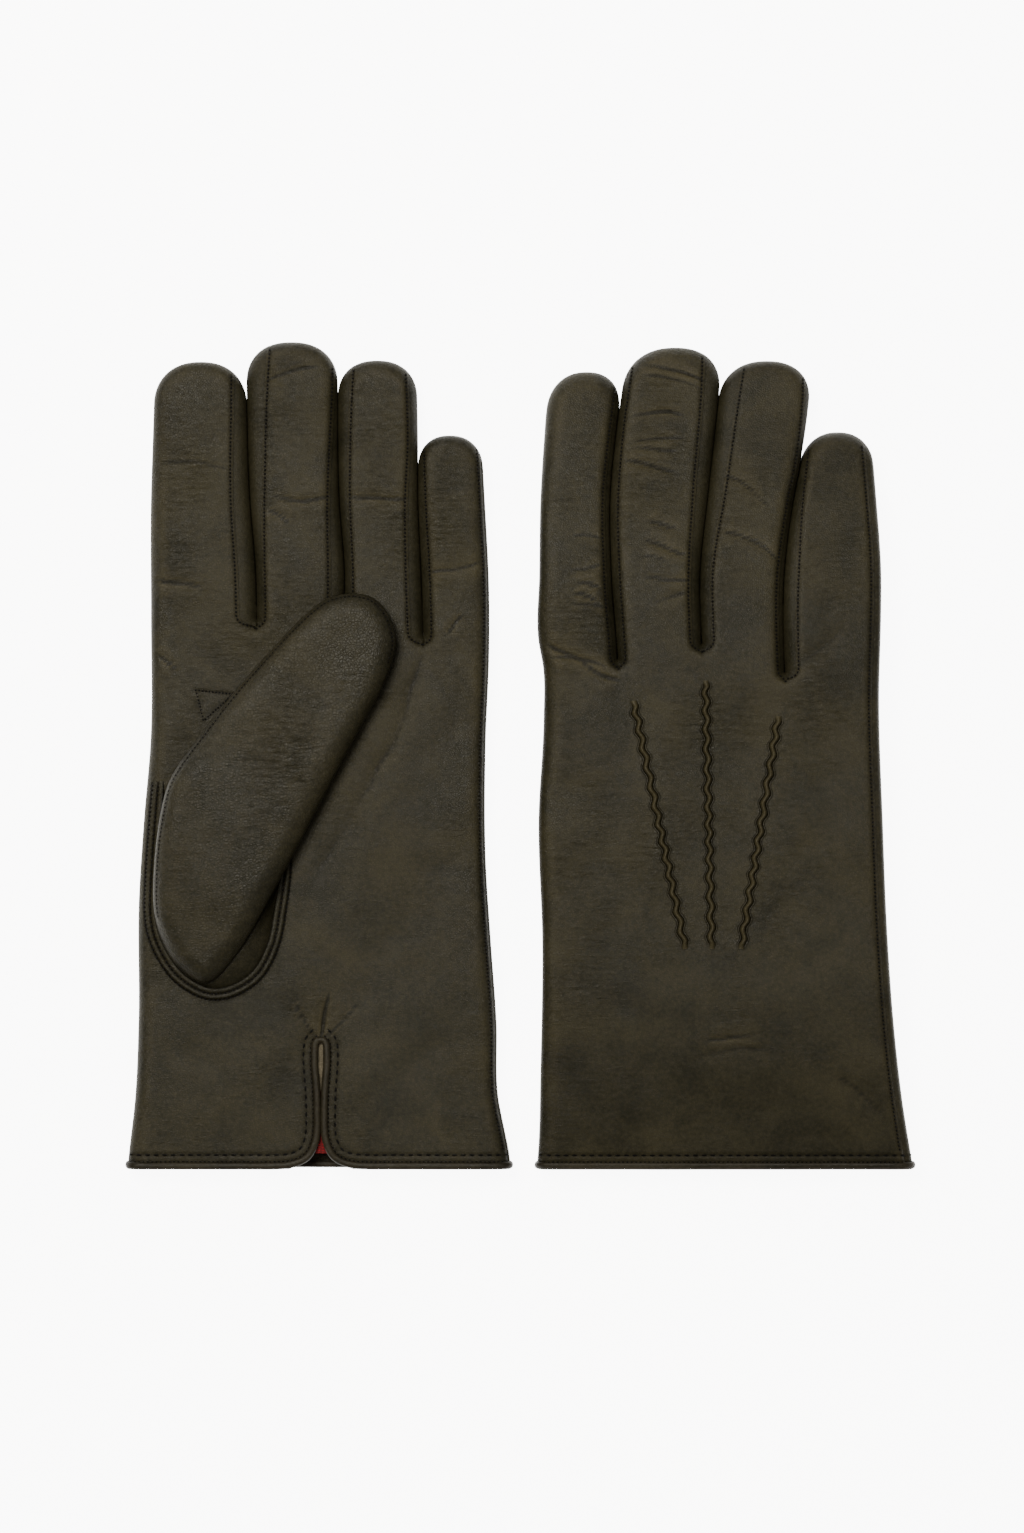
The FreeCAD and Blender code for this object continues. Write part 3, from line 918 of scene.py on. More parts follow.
@dataclass
class Wardrobe:
    """The materials of the gloves."""

    leather: Finish = Finish(srgb(42, 40, 27), srgb(7, 6, 3), srgb(74, 67, 46), 0.45, 0.62, 0.13)
    thumb: Finish = Finish(srgb(41, 39, 26), srgb(7, 6, 3), srgb(74, 67, 48), 0.41, 0.85, 0.16)
    # The side strips darken to near black: painted shade deep between the fingers.
    strip: Finish = Finish(srgb(41, 39, 26), srgb(2, 2, 1), srgb(64, 58, 40), 0.48, 0.55, 0.12)
    edge: Finish = Finish(srgb(42, 38, 27), srgb(5, 5, 3), srgb(70, 64, 47), 0.42, 0.5, 0.08)
    thread: Finish = Finish(srgb(7, 6, 5), srgb(2, 2, 2), srgb(16, 15, 12), 0.7, 0.25, 0.2)
    lining: Finish = Finish(srgb(118, 4, 12), srgb(44, 2, 4), srgb(150, 16, 24), 0.85, 0.9, 0.35, 0.25)
    facing: Finish = Finish(srgb(98, 90, 72), srgb(50, 46, 38), srgb(140, 132, 114), 0.75, 0.7, 0.2)

    def __post_init__(self) -> None:
        """Makes the shared effects."""
        self.grain, self.wear, self.weave = grain_group(), wear_group(), weave_group()

    def begin(self, name: str, finish: Finish) -> tuple[bpy.types.Material, Nodes, bpy.types.Node]:
        """A new material, its nodes, and its grain."""
        material = bpy.data.materials.new(name)
        material.use_nodes = True
        n = Nodes(material.node_tree)
        return material, n, n.add("ShaderNodeGroup", {"Size": finish.grain}, node_tree=self.grain)

    def end(self, n: Nodes, finish: Finish, height: bpy.types.NodeSocket, strength: float,
            inputs: dict[str, object]) -> None:
        """Gives a material its relief, its shader and its output.

        Args:
            n: the material's nodes.
            finish: how it looks.
            height: the relief.
            strength: how strongly the relief shows.
            inputs: the shader's other inputs.
        """
        bump = n.add("ShaderNodeBump", {"Strength": strength, "Distance": finish.relief * MM, "Height": height})
        shader = n.add("ShaderNodeBsdfPrincipled", inputs | {"Normal": bump.outputs[0]})
        n.add("ShaderNodeOutputMaterial", {"Surface": shader.outputs[0]})

    def leather_material(self, name: str, finish: Finish) -> bpy.types.Material:
        """A leather: grained and mottled, lighter where it is rubbed, and darkened by painted shade in its seams, in
        hollows and between the fingers; the back's raised lines get a painted highlight.

        Args:
            name: the material's name.
            finish: how it looks.

        Returns:
            The material.
        """
        material, n, grain = self.begin(name, finish)
        wear = n.add("ShaderNodeGroup", node_tree=self.wear)
        # The seam attribute holds painted shade: along the rows of stitches, deep between the fingers, on the thumb's
        # lower half, round the thumb's base, and in bands beside the back's raised lines.
        seam = n.add("ShaderNodeAttribute", attribute_name="seam").outputs["Fac"]
        tone = n.remap(grain.outputs["Mottle"], 0.38, 0.62)
        shade = tuple(0.62 * c + 0.38 * d for c, d in zip(finish.colour, finish.dark))
        pale = tuple(0.72 * c + 0.28 * d for c, d in zip(finish.colour, finish.light))
        colour = n.mix(tone, shade, pale)
        # Ridges lighten: as wear on the panels, and as a painted highlight on the back's raised lines.
        colour = n.mix(n.maths("MULTIPLY", wear.outputs["Rubbed_and_highlight"], 0.55), colour, finish.light)
        colour = n.mix(n.maths("MULTIPLY", grain.outputs["Pores"], 0.35), colour, finish.dark)
        # Painted shade in hollows.
        colour = n.mix(n.maths("MULTIPLY", wear.outputs["Hollow_painted_shade"], 0.6), colour, finish.dark)
        # Painted shade from the seam attribute; it also takes away some shine there.
        colour = n.mix(n.maths("MULTIPLY", seam, 0.88), colour, finish.dark)
        rough = n.maths("ADD", finish.roughness - 0.07, n.maths("MULTIPLY", tone, 0.12))
        shine = n.maths("SUBTRACT", 0.22, n.maths("MULTIPLY", seam, 0.2))
        self.end(n, finish, grain.outputs["Height"], 0.9,
                 {"Base Color": colour, "Roughness": rough, "IOR": 1.46, "Specular IOR Level": shine})
        return material

    def cloth_material(self, name: str, finish: Finish) -> bpy.types.Material:
        """A knit or a thread: made of small ribs, with fuzz.

        Args:
            name: the material's name.
            finish: how it looks.

        Returns:
            The material.
        """
        material, n, grain = self.begin(name, finish)
        weave = n.add("ShaderNodeGroup", node_tree=self.weave)
        colour = n.mix(grain.outputs["Mottle"], finish.colour, finish.light)
        colour = n.mix(n.maths("MULTIPLY", weave.outputs["Mask"], 0.7), colour, finish.dark)
        self.end(n, finish, weave.outputs["Height"], 0.8,
                 {"Base Color": colour, "Roughness": finish.roughness, "Sheen Weight": finish.fuzz,
                  "Specular IOR Level": 0.15 + 0.5 * finish.fuzz})
        return material

    @cached_property
    def materials(self) -> dict[str, bpy.types.Material]:
        """The materials by name."""
        made = {name: self.leather_material(name, getattr(self, name))
                for name in ("leather", "thumb", "strip", "edge", "facing")}
        return made | {name: self.cloth_material(name, getattr(self, name)) for name in ("thread", "lining")}


# ------------------------------------------------------------------ the gloves
FINGERS = ("index", "middle", "ring", "little")


@dataclass
class Glove:
    """One glove: its form, where it lies, and what its pieces are made of.

    Attributes:
        hand: left or right.
        form: its soft form.
        placing: where its hand lies.
        finger_sags: how each of its fingers droops.
        wardrobe: the materials.
        fold_from: a height near the fingers' roots, at which a point is taken on each finger's middle line.
        fold_to: a height further up, at which a second point is taken.
        shadow: how far from the glove's middle the painted shade between its fingers reaches.
    """

    hand: str
    form: GloveForm
    placing: Placing
    finger_sags: tuple[Line | None, ...]
    wardrobe: Wardrobe
    fold_from: float = 169.0
    fold_to: float = 189.0
    shadow: float = 2.4

    def node(self, name: str) -> str:
        """The CAD's name for a piece of this glove."""
        return f"{self.hand}_{name}"

    def finger_placing(self, finger: int) -> Placing:
        """Where a finger's own pieces lie."""
        return replace(self.placing, sag=self.finger_sags[finger])

    def point(self, x: float, y: float, z: float = 0.0) -> Vector:
        """A plan point of the hand in the frame."""
        return Vector(self.placing.place(np.array([[x, y, z]], float))[0])

    def put(self, name: str, bm: bmesh.types.BMesh, material: str, slot: str, nodes: Sequence[str],
            finger: int | None = None, seams: bool = False, sharp: float = 48.0,
            shade: np.ndarray | None = None, painted_highlight: np.ndarray | None = None) -> None:
        """A finished piece that stands for some CAD nodes; a piece of the hand is attached to the hand's body, and a
        finger's takes the finger's droop.

        Args:
            name: its name, without the hand's.
            bm: its mesh, in plan millimetres.
            material: its material's name.
            slot: not used.
            nodes: the nodes that it stands for, without the hand's name.
            finger: the finger whose droop it takes, where it is a finger's piece.
            seams: whether painted shade darkens it along its rows of stitches, and, for the side strips, deep between
                the fingers.
            sharp: the angle from which edges are shaded sharp.
            shade: how much painted shade darkens each point, from 0 to 1, where the seams don't say.
            painted_highlight: how much a painted highlight lightens each point, from 0 to 1.
        """
        # Painted shade goes into the "seam" attribute and a painted highlight into "bend".
        values = {} if shade is None else {"seam": shade}
        if painted_highlight is not None:
            values["bend"] = painted_highlight
        if seams:
            points = points_of(bm)
            near, bend = np.zeros(len(points)), np.zeros(len(points))
            for side in Side:
                here = points[:, 2] * side.value >= 0
                if here.any():
                    x, y = points[here, 0], points[here, 1]
                    away, _ = self.form.seam_distance(x, y, side)
                    # Painted shade along the rows of stitches.
                    near[here] = 0.4 * np.exp(-((away / 0.6) ** 2))
                    # How the face bends: ridges lighten as wear, and hollows darken with painted shade.
                    if material == "leather":
                        bend[here] = self.form.bend(x, y, side)
            # Painted shade deep between the fingers, darker the nearer the glove's middle.
            if material == "strip":
                near = np.maximum(near, 1 - smooth(np.abs(points[:, 2]) / self.shadow))
            values = {"seam": near, "bend": bend}
        placing = self.placing if finger is None else self.finger_placing(finger)
        obj = make_object(self.node(name), bm, placing, self.wardrobe.materials[material], values, sharp)
        if finger is None:
            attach(obj, self.node("hand"))
        else:
            lo, hi = self.form.span(finger, np.array(180.0))
            middle = float(lo + hi) / 2
            self.point(middle, self.fold_from)
            self.point(middle, self.fold_to)
            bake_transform(obj)
        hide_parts(*[self.node(n) for n in nodes])


@dataclass
class Cover:
    """The leather panels of a glove's palm, back and fingers.

    Attributes:
        glove: the glove.
        thickness: of the leather.
        columns: lines of vertices across each finger's band.
        lap: how far the side wrap runs on under the seam.
        under: how far below the face it lies there.
        roll: how wide a panel's edge is turned down.
        turn_down: how far.
        weld: points of neighbouring bands closer than this become one.
    """

    glove: Glove
    thickness: float = 0.7
    columns: int = 34
    lap: float = 1.2
    under: float = 0.85
    roll: float = 0.4
    turn_down: float = 0.3
    weld: float = 0.02

    def rows(self, finger: int | None) -> np.ndarray:
        """The shares along a hand's or a finger's panels at which they have lines of vertices."""
        if finger is None:
            split = self.glove.form.split
            y = np.concatenate([np.arange(0, 12, 0.6), np.arange(12, 36, 0.9), np.arange(36, 39, 0.4),
                                np.arange(39, 140, 0.95), np.arange(140, split, 0.45), [split]])
            return y / split
        t = np.linspace(0, 1, int((self.glove.form.tips[finger].y - self.glove.form.split) / 0.58))
        return 0.35 * t + 0.65 * np.sin(math.pi * t / 2)

    def along(self, side: Side, finger: int, share: np.ndarray, across: np.ndarray, own: bool) -> np.ndarray:
        """How far up the glove places on a panel are.

        Args:
            side: the face.
            finger: the band.
            share: how far along the panel they are.
            across: how far across it.
            own: whether it is the finger's own piece, which ends on the fingertip's outline.

        Returns:
            The values of y.
        """
        form = self.glove.form
        if not own:
            return share * form.split

        def at(y: np.ndarray) -> np.ndarray:
            """Where the places' lines lie across the glove."""
            lo, hi = form.panel_edges(side, finger, y)
            return lo + (hi - lo) * across

        return form.split + (self.top(finger, at, share) - form.split) * share

    def top(self, finger: int, at: Callable[[np.ndarray], np.ndarray], like: np.ndarray) -> np.ndarray:
        """Where lines that run up a finger meet the fingertip's outline.

        Args:
            finger: the finger.
            at: gives the lines' x for their y.
            like: an array of the lines' shape.

        Returns:
            Their y there.
        """
        tip = self.glove.form.tips[finger]
        top = np.full(like.shape, tip.y)
        for _ in range(4):
            left, right = self.glove.form.span(finger, top)
            a = np.clip(np.abs(at(top) - (left + right) / 2) / ((right - left) / 2), 0, 1)
            top = tip.y - tip.rounding * (1 - (1 - a**tip.squareness) ** (1 / tip.squareness))
        return top

    def panel(self, side: Side, finger: int, own: bool) -> bmesh.types.BMesh:
        """One band of a face."""
        form = self.glove.form

        def place(u: np.ndarray, v: np.ndarray) -> np.ndarray:
            """The band's points."""
            y = self.along(side, finger, v, u, own)
            lo, hi = form.panel_edges(side, finger, y)
            x = lo + (hi - lo) * u
            z = form.surface(x, y, side, np.full(x.shape, finger))
            turned = np.zeros_like(x)
            if finger > 0:
                free = smooth((y - form.crotch[side][finger - 1]) / 2)
                turned += free * np.exp(-(((x - lo) / self.roll) ** 2))
            if finger < 3:
                free = smooth((y - form.crotch[side][finger]) / 2)
                turned += free * np.exp(-(((hi - x) / self.roll) ** 2))
            elif side is form.seam_face:
                turned += np.exp(-(((hi - x) / self.roll) ** 2))
            z = np.maximum(z - self.turn_down * turned, 0.0)
            if own:
                z = np.where((v > 1 - 1e-6) & (u > 0) & (u < 1), 0.03, z)
            return np.column_stack([x, y, z * side.value])

        bm = new_sheet(shares(self.columns, 0.8), self.rows(finger if own else None), place)
        return face_out(bm, lambda _: Vector((0, 0, side.value)))

    def wrap(self, own: bool) -> bmesh.types.BMesh:
        """The leather that comes round the little finger's side and under the side seam."""
        form = self.glove.form
        side = form.seam_face
        wide = form.seam_inset + self.lap

        def place(u: np.ndarray, v: np.ndarray) -> np.ndarray:
            """The wrap's points."""
            y = v * form.split
            if own:
                top = self.top(3, lambda y: form.right.at(y) - u * wide, u)
                y = form.split + (top - form.split) * v
            x = form.right.at(y) - u * wide
            under = self.under * smooth(u * wide / max(form.seam_inset, 0.5))
            z = form.ground(x, y, side, np.full(x.shape, 3)) - under
            return np.column_stack([x, y, side.value * np.maximum(z, 0.0) * (u > 0)])

        bm = new_sheet(shares(9), self.rows(3 if own else None), place)
        return face_out(bm, lambda _: Vector((1, 0, 0)))

    def dress(self) -> None:
        """Makes the panels and joins them to the glove."""
        form = self.glove.form

        def at_split(p: Vector) -> bool:
            """Whether a point lies where the hand's pieces meet the fingers'."""
            return abs(p.y - form.split) < 1e-3

        def at_fold(p: Vector) -> bool:
            """Whether a point lies on the forefinger's side, where the leather is folded."""
            return abs(p.z) < 1e-3 and abs(p.x - float(form.left.at(p.y))) < 1e-2

        for side, node in ((Side.PALM, "palm_leather"), (Side.BACK, "back_leather")):
            sheets = [self.panel(side, k, False) for k in range(4)]
            if side is not form.seam_face:
                sheets.append(self.wrap(False))
            bm = thicken(merged(sheets, self.weld), self.thickness, lambda p: at_split(p) or at_fold(p))
            self.glove.put(node, bm, "leather", "leather", [node], seams=True)
        for k, name in enumerate(FINGERS):
            sheets = [self.panel(side, k, True) for side in Side]
            if k == 3:
                sheets.append(self.wrap(True))
            bm = thicken(merged(sheets, self.weld), self.thickness, at_split)
            self.glove.put(f"{name}_leather", bm, "leather", "leather", [f"{name}_leather"], k, True)


@dataclass
class SideStrips:
    """The strips of leather let in between the fingers, and the webs that join them.

    Attributes:
        glove: the glove.
        lap: how far a strip runs in under the panels.
        sunk: how far below the panels' faces it lies there.
    """

    glove: Glove
    lap: float = 1.1
    sunk: float = 0.85

    def reach(self, slit: int, towards: int, side: Side, y: np.ndarray) -> np.ndarray:
        """How far a strip reaches from the slit's side onto a face, with its lap."""
        return self.glove.form.seam_off(slit, towards, side, y) + self.lap

    def strip(self, slit: int, towards: int) -> bmesh.types.BMesh:
        """The strip along one side of a finger, from its own piece's start to the fingertip."""
        form = self.glove.form
        finger = slit if towards < 0 else slit + 1
        tip = form.tips[finger]
        ends = [form.seam_end(slit, towards, side) + 2.0 for side in Side]

        def place(u: np.ndarray, v: np.ndarray) -> np.ndarray:
            """The strip's points."""
            y = form.split + (max(ends) - form.split) * v
            lo, hi = form.span(finger, y)
            half = (hi - lo) / 2
            up = np.clip((y - (tip.y - tip.rounding)) / tip.rounding, 0, 1)
            kept = (1 - up**tip.squareness) ** (1 / tip.squareness)
            wall = half * (1 - kept)
            angles = []
            for side in (Side.PALM, Side.BACK):
                room = np.clip(self.reach(slit, towards, side, y) - wall, 0.02, form.edge * 0.95)
                angles.append(np.arccos(1 - room / form.edge))
            turn = angles[0] - (angles[0] + angles[1]) * u
            off = wall + form.edge * (1 - np.cos(turn))
            x = np.where(towards < 0, hi - off, lo + off)
            z = np.zeros_like(x)
            crinkle = 0.12 * np.sin(2 * math.pi * y / 2.1 + 2.2 * np.sin(y / 5.1 + slit)) * np.sin(turn) ** 2
            for side in Side:
                here = turn * side.value > 1e-9
                if here.any():
                    full = form.ground(x[here], y[here], side, np.full(here.sum(), finger))
                    sunk = np.maximum(full - self.sunk * smooth(np.abs(turn[here]) / 0.5), 0.0)
                    z[here] = sunk * side.value
            return np.column_stack([x - towards * np.abs(crinkle) * smooth((tip.y - y) / 8), y, z])

        bm = new_sheet(shares(15), np.linspace(0, 1, int((max(ends) - form.split) / 0.35)), place)
        return face_out(bm, lambda _: Vector((-towards, 0, 0)))

    def web(self, slit: int) -> bmesh.types.BMesh:
        """The web between two fingers, sloping from its end on the palm to its end on the back."""
        form = self.glove.form
        start = np.array(form.split)
        gap = form.air / 2
        turned = {(t, s): math.acos(1 - min(0.95, float(self.reach(slit, t, s, start)) / form.edge))
                  for t in (-1, 1) for s in Side}
        straight, arc = 0.4, 0.2
        ends = {side: form.crotch[side][slit] for side in Side}

        def place(u: np.ndarray, v: np.ndarray) -> np.ndarray:
            """The web's points."""
            crotch = ends[Side.PALM] + (ends[Side.BACK] - ends[Side.PALM]) * u
            share = np.clip((v - straight) / arc, 0, 1)
            angle = {s: turned[-1, s] + (turned[1, s] - turned[-1, s]) * share for s in Side}
            turn = angle[Side.PALM] - (angle[Side.PALM] + angle[Side.BACK]) * u
            off = gap + form.edge * (1 - np.cos(turn))
            base = crotch - self.lap + off
            y = np.where(v < straight, form.split + (base - form.split) * v / straight,
                         np.where(v > straight + arc, form.split + (base - form.split) * (1 - v) / straight,
                                  base - off * np.sin(math.pi * share)))
            middle = form.slits[slit].at(y)
            x = middle - off * np.cos(math.pi * share)
            z = np.zeros_like(x)
            for side in Side:
                here = turn * side.value > 1e-9
                if here.any():
                    band = np.where(x[here] < middle[here], slit, slit + 1)
                    full = form.ground(x[here], y[here], side, band)
                    low = np.minimum(full, form.half_height * pillowed((off[here] - gap) / form.edge))
                    straight_part = (share[here] <= 0) | (share[here] >= 1)
                    low = np.where(straight_part, full, low)
                    z[here] = side.value * np.maximum(low - self.sunk * smooth(np.abs(turn[here]) / 0.5), 0.0)
            return np.column_stack([x, y, z])

        bm = new_sheet(shares(17), np.concatenate([np.linspace(0, straight, 22, endpoint=False),
                                                   np.linspace(straight, straight + arc, 21),
                                                   np.linspace(1 - straight, 1, 22)[1:]]), place)
        return face_out(bm, lambda p: Vector((0, 1, 0)) if p.y < 160 else Vector((0, 0, 0)))

    def dress(self) -> None:
        """Makes the strips and webs and joins them to the glove."""
        for k, name in enumerate(FINGERS):
            sheets = []
            if k < 3:
                sheets.append(self.strip(k, -1))
            if k > 0:
                sheets.append(self.strip(k - 1, 1))
            self.glove.put(f"{name}_fourchettes", merged(sheets), "strip", "fourchette_leather",
                           [f"{name}_fourchettes"], k, True, SOFT)
        webs = merged([self.web(slit) for slit in range(3)])
        self.glove.put("root_fourchettes", webs, "strip", "fourchette_leather", ["root_fourchettes"],
                       seams=True, sharp=SOFT)


@dataclass(frozen=True)
class Stitch:
    """One stitch: its half length as a share of the pitch, half its width and height, and how far it is sunk."""

    length: float = 0.32
    width: float = 0.33
    height: float = 0.28
    sunk: float = 0.08

    def sew(self, at: np.ndarray, along: np.ndarray, up: np.ndarray, pitch: float = 1.15) -> bmesh.types.BMesh:
        """Stitches in a row.

        Args:
            at: their middles.
            along: their directions.
            up: which way is out of the leather at each.
            pitch: the distance between two of them.

        Returns:
            Their mesh.
        """
        bm = bmesh.new()
        for place, ahead, out in zip(at, along, up):
            x = Vector(ahead).normalized()
            z = (Vector(out) - x * x.dot(Vector(out))).normalized()
            turn = Matrix((x, z.cross(x), z)).transposed().to_4x4()
            size = Matrix.Diagonal((self.length * pitch, self.width, self.height, 1.0))
            bmesh.ops.create_uvsphere(bm, u_segments=6, v_segments=4, radius=1.0,
                                      matrix=Matrix.Translation(Vector(place)) @ turn @ size)
        return bm


@dataclass
class Sewing:
    """The stitches of a glove's seams.

    Attributes:
        glove: the glove.
        stitch: what a stitch is like.
    """

    glove: Glove
    stitch: Stitch = Stitch()

    def row(self, row: Row) -> list[tuple[int | None, np.ndarray, np.ndarray, np.ndarray]]:
        """A row's stitches as (finger or None, middles, directions, outward directions), in runs."""
        form = self.glove.form
        path = resample(row.path, row.pitch)
        ahead = np.gradient(path, axis=0)
        x, y = path[:, 0], path[:, 1]
        band = form.finger_at(x, y)
        z = form.ground(x, y, row.side, band)
        slope_x, slope_y = slopes(lambda a, b: form.ground(a, b, row.side, band), x, y)
        rise = slope_x * ahead[:, 0] + slope_y * ahead[:, 1]
        turn = row.side.value
        at = np.column_stack([x, y, turn * (z - self.stitch.sunk)])
        along = np.column_stack([ahead, turn * rise])
        up = np.column_stack([-slope_x, -slope_y, np.ones_like(x)]) * [1, 1, turn]
        where = np.where(y > form.split, band, -1)
        runs = [(k, where == k) for k in np.unique(where)]
        return [(None if k < 0 else int(k), at[run], along[run], up[run]) for k, run in runs]

    def dress(self) -> None:
        """Sews the rows and joins them to the glove."""
        hem, side_seam, fingers = [], [], {k: [] for k in range(4)}
        hem_rows = sum(len(self.glove.form.hem_rows(side)) for side in Side)
        for number, row in enumerate(self.glove.form.rows):
            for finger, at, along, up in self.row(row):
                sewn = self.stitch.sew(at, along, up, row.pitch)
                if finger is not None:
                    fingers[finger].append(sewn)
                elif number < hem_rows:
                    hem.append(sewn)
                else:
                    side_seam.append(sewn)
        self.glove.put("cuff_stitching", merged(hem), "thread", "thread", ["cuff_stitching"])
        self.glove.put("side_seam_stitching", merged(side_seam), "thread", "thread", ["side_seam_stitching"])
        for k, name in enumerate(FINGERS):
            node = f"{name}_stitching"
            self.glove.put(node, merged(fingers[k]), "thread", "thread", [node], k)


@dataclass
class CuffEdge:
    """The rolled edge round the cuff and up the vent, and the facing behind the vent.

    Attributes:
        glove: the glove.
        section: the roll's section, as (away from the leather, out of it).
        facing: where the facing behind the vent starts and ends.
        facing_half: half its width.
    """

    glove: Glove
    section: tuple[tuple[float, float], ...] = (
        (-2.15, -0.2), (-2.1, 0.12), (-1.75, 0.45), (-1.2, 0.66), (-0.6, 0.62), (-0.1, 0.36), (0.16, -0.1),
        (0.16, -0.7), (-0.1, -1.15), (-0.6, -1.4), (-1.2, -1.35), (-1.8, -1.1), (-2.15, -0.2))
    facing: tuple[float, float] = (23.0, 38.0)
    facing_half: float = 1.6

    def dress(self) -> None:
        """Makes the roll and the facing and joins them to the glove."""
        form = self.glove.form
        right, left = form.vent_side(1), form.vent_side(-1)
        back_x = np.linspace(right[-1, 0], left[-1, 0], 180)
        back = np.column_stack([back_x, np.zeros(180)])[1:-1]
        path, up = [], []
        for line, side in ((right, Side.PALM), (back, Side.BACK), (left[::-1], Side.PALM)):
            x, y = line[:, 0], line[:, 1]
            band = form.finger_at(x, y)
            z = form.ground(x, y, side, band)
            slope = slopes(lambda a, b: form.ground(a, b, side, band), x, y, 0.3)[0]
            path.append(np.column_stack([x, y, side.value * z]))
            up.append(np.column_stack([-slope, np.zeros_like(x), np.full(x.shape, float(side.value))]))
        line = np.vstack(path)
        normal = np.vstack(up)
        ends = (np.abs(line[:, 2]) < 0.6) & (np.abs(line[:, 1]) < 0.3)
        normal[ends] = np.column_stack([np.sign(line[ends, 0]), np.zeros((ends.sum(), 2))])
        normal = unit(normal)
        for _ in range(4):
            normal = (np.roll(normal, 1, 0) + 2 * normal + np.roll(normal, -1, 0)) / 4
        normal = unit(normal)
        away = unit(np.cross(unit(np.roll(line, -1, 0) - np.roll(line, 1, 0)), normal))
        if away[len(right) + len(back) // 2, 1] > 0:
            away = -away
        bm = sweep(*(np.vstack([a, a[:1]]) for a in (line, away, normal)), self.section)
        self.glove.put("cuff_roll", bm, "edge", "edge_leather", ["cuff_binding", "vent_binding"],
                       seams=True, sharp=SOFT)

        def place(u: np.ndarray, v: np.ndarray) -> np.ndarray:
            """The facing's points."""
            low, high = self.facing
            y = low + (high - low) * v
            x = form.vent_centre + (u - 0.5) * 2 * self.facing_half * np.sqrt(np.clip(v * 1.2, 0.02, 1))
            return np.column_stack([x, y, form.ground(x, y, Side.PALM) - 1.0 + 0.1 * np.sin(y / 0.9)])

        strip = face_out(new_sheet(shares(7), shares(30), place), lambda _: Vector((0, 0, 1)))
        self.glove.put("vent_facing", strip, "facing", "edge_leather", [], sharp=SOFT)


@dataclass
class BackPoints:
    """The three raised lines on the back of the hand, each gathered over a cord and sewn down both sides.

    Attributes:
        glove: the glove.
        lines: their ends.
        width: half the width that a line draws in.
        ridge: half the width of its ridge.
        rise: how far it stands up.
        wave: the length of its waves.
        sway: how far they swing to each side.
        spacing: the distance between rows of vertices.
    """

    glove: Glove
    lines: tuple[tuple[tuple[float, float], tuple[float, float]], ...] = (
        ((-22.8, 139.5), (-7.5, 66.0)), ((-1.5, 145.5), (0.3, 66.0)), ((20.1, 135.0), (9.0, 66.0)))
    width: float = 1.9
    ridge: float = 0.9
    rise: float = 1.1
    wave: float = 5.5
    sway: float = 0.5
    spacing: float = 0.35

    def dress(self) -> None:
        """Makes the lines, with painted shadow beside them and a painted highlight on their crests, and joins them to
        the glove.
        """
        form = self.glove.form
        ridges, painted_shadows, painted_highlights = [], [], []
        for (ax, ay), (bx, by) in self.lines:
            path = resample(np.array([(ax, ay), (bx, by)]), self.spacing)
            ahead = np.array([bx - ax, by - ay]) / math.hypot(bx - ax, by - ay)
            across = np.array([-ahead[1], ahead[0]])
            rows = np.linspace(0, 1, len(path))

            def place(u: np.ndarray, v: np.ndarray, path: np.ndarray = path, across: np.ndarray = across
                      ) -> np.ndarray:
                """The ridge's points."""
                i = np.rint(v * (len(path) - 1)).astype(int)
                run = v * len(path) * self.spacing
                ends = smooth(np.minimum(v, 1 - v) * len(path) * self.spacing / 2.5)
                turn = 2 * math.pi * run / self.wave + 0.7 * np.sin(run / 7.3)
                off = (u - 0.5) * 2 * self.width
                at = path[i] + across * (off + self.sway * ends * np.sin(turn))[:, None]
                z = form.ground(at[:, 0], at[:, 1], Side.BACK)
                hump = np.cos(np.clip(np.abs(off) / self.ridge, 0, 1) * math.pi / 2) ** 1.2 * self.rise
                dip = 0.12 * np.exp(-(((np.abs(off) - 1.15) / 0.3) ** 2))
                swell = 0.14 * (1 - (np.abs(off) / self.width) ** 4)
                # Painted shadow in a band on each flank of the ridge.
                painted_shadows.append(ends * smooth((np.abs(off) - 0.55) / 0.35) * smooth((1.75 - np.abs(off)) / 0.4))
                # A painted highlight along the ridge's crest.
                painted_highlights.append(0.9 * hump / self.rise)
                return np.column_stack([at, -(z + hump * (0.3 + 0.7 * ends) - dip + swell - 0.02)])

            ridges.append(face_out(new_sheet(shares(19), rows, place), lambda _: Vector((0, 0, -1))))
        self.glove.put("points", merged(ridges), "leather", "leather", ["points"], sharp=SOFT,
                       shade=np.concatenate(painted_shadows), painted_highlight=np.concatenate(painted_highlights))


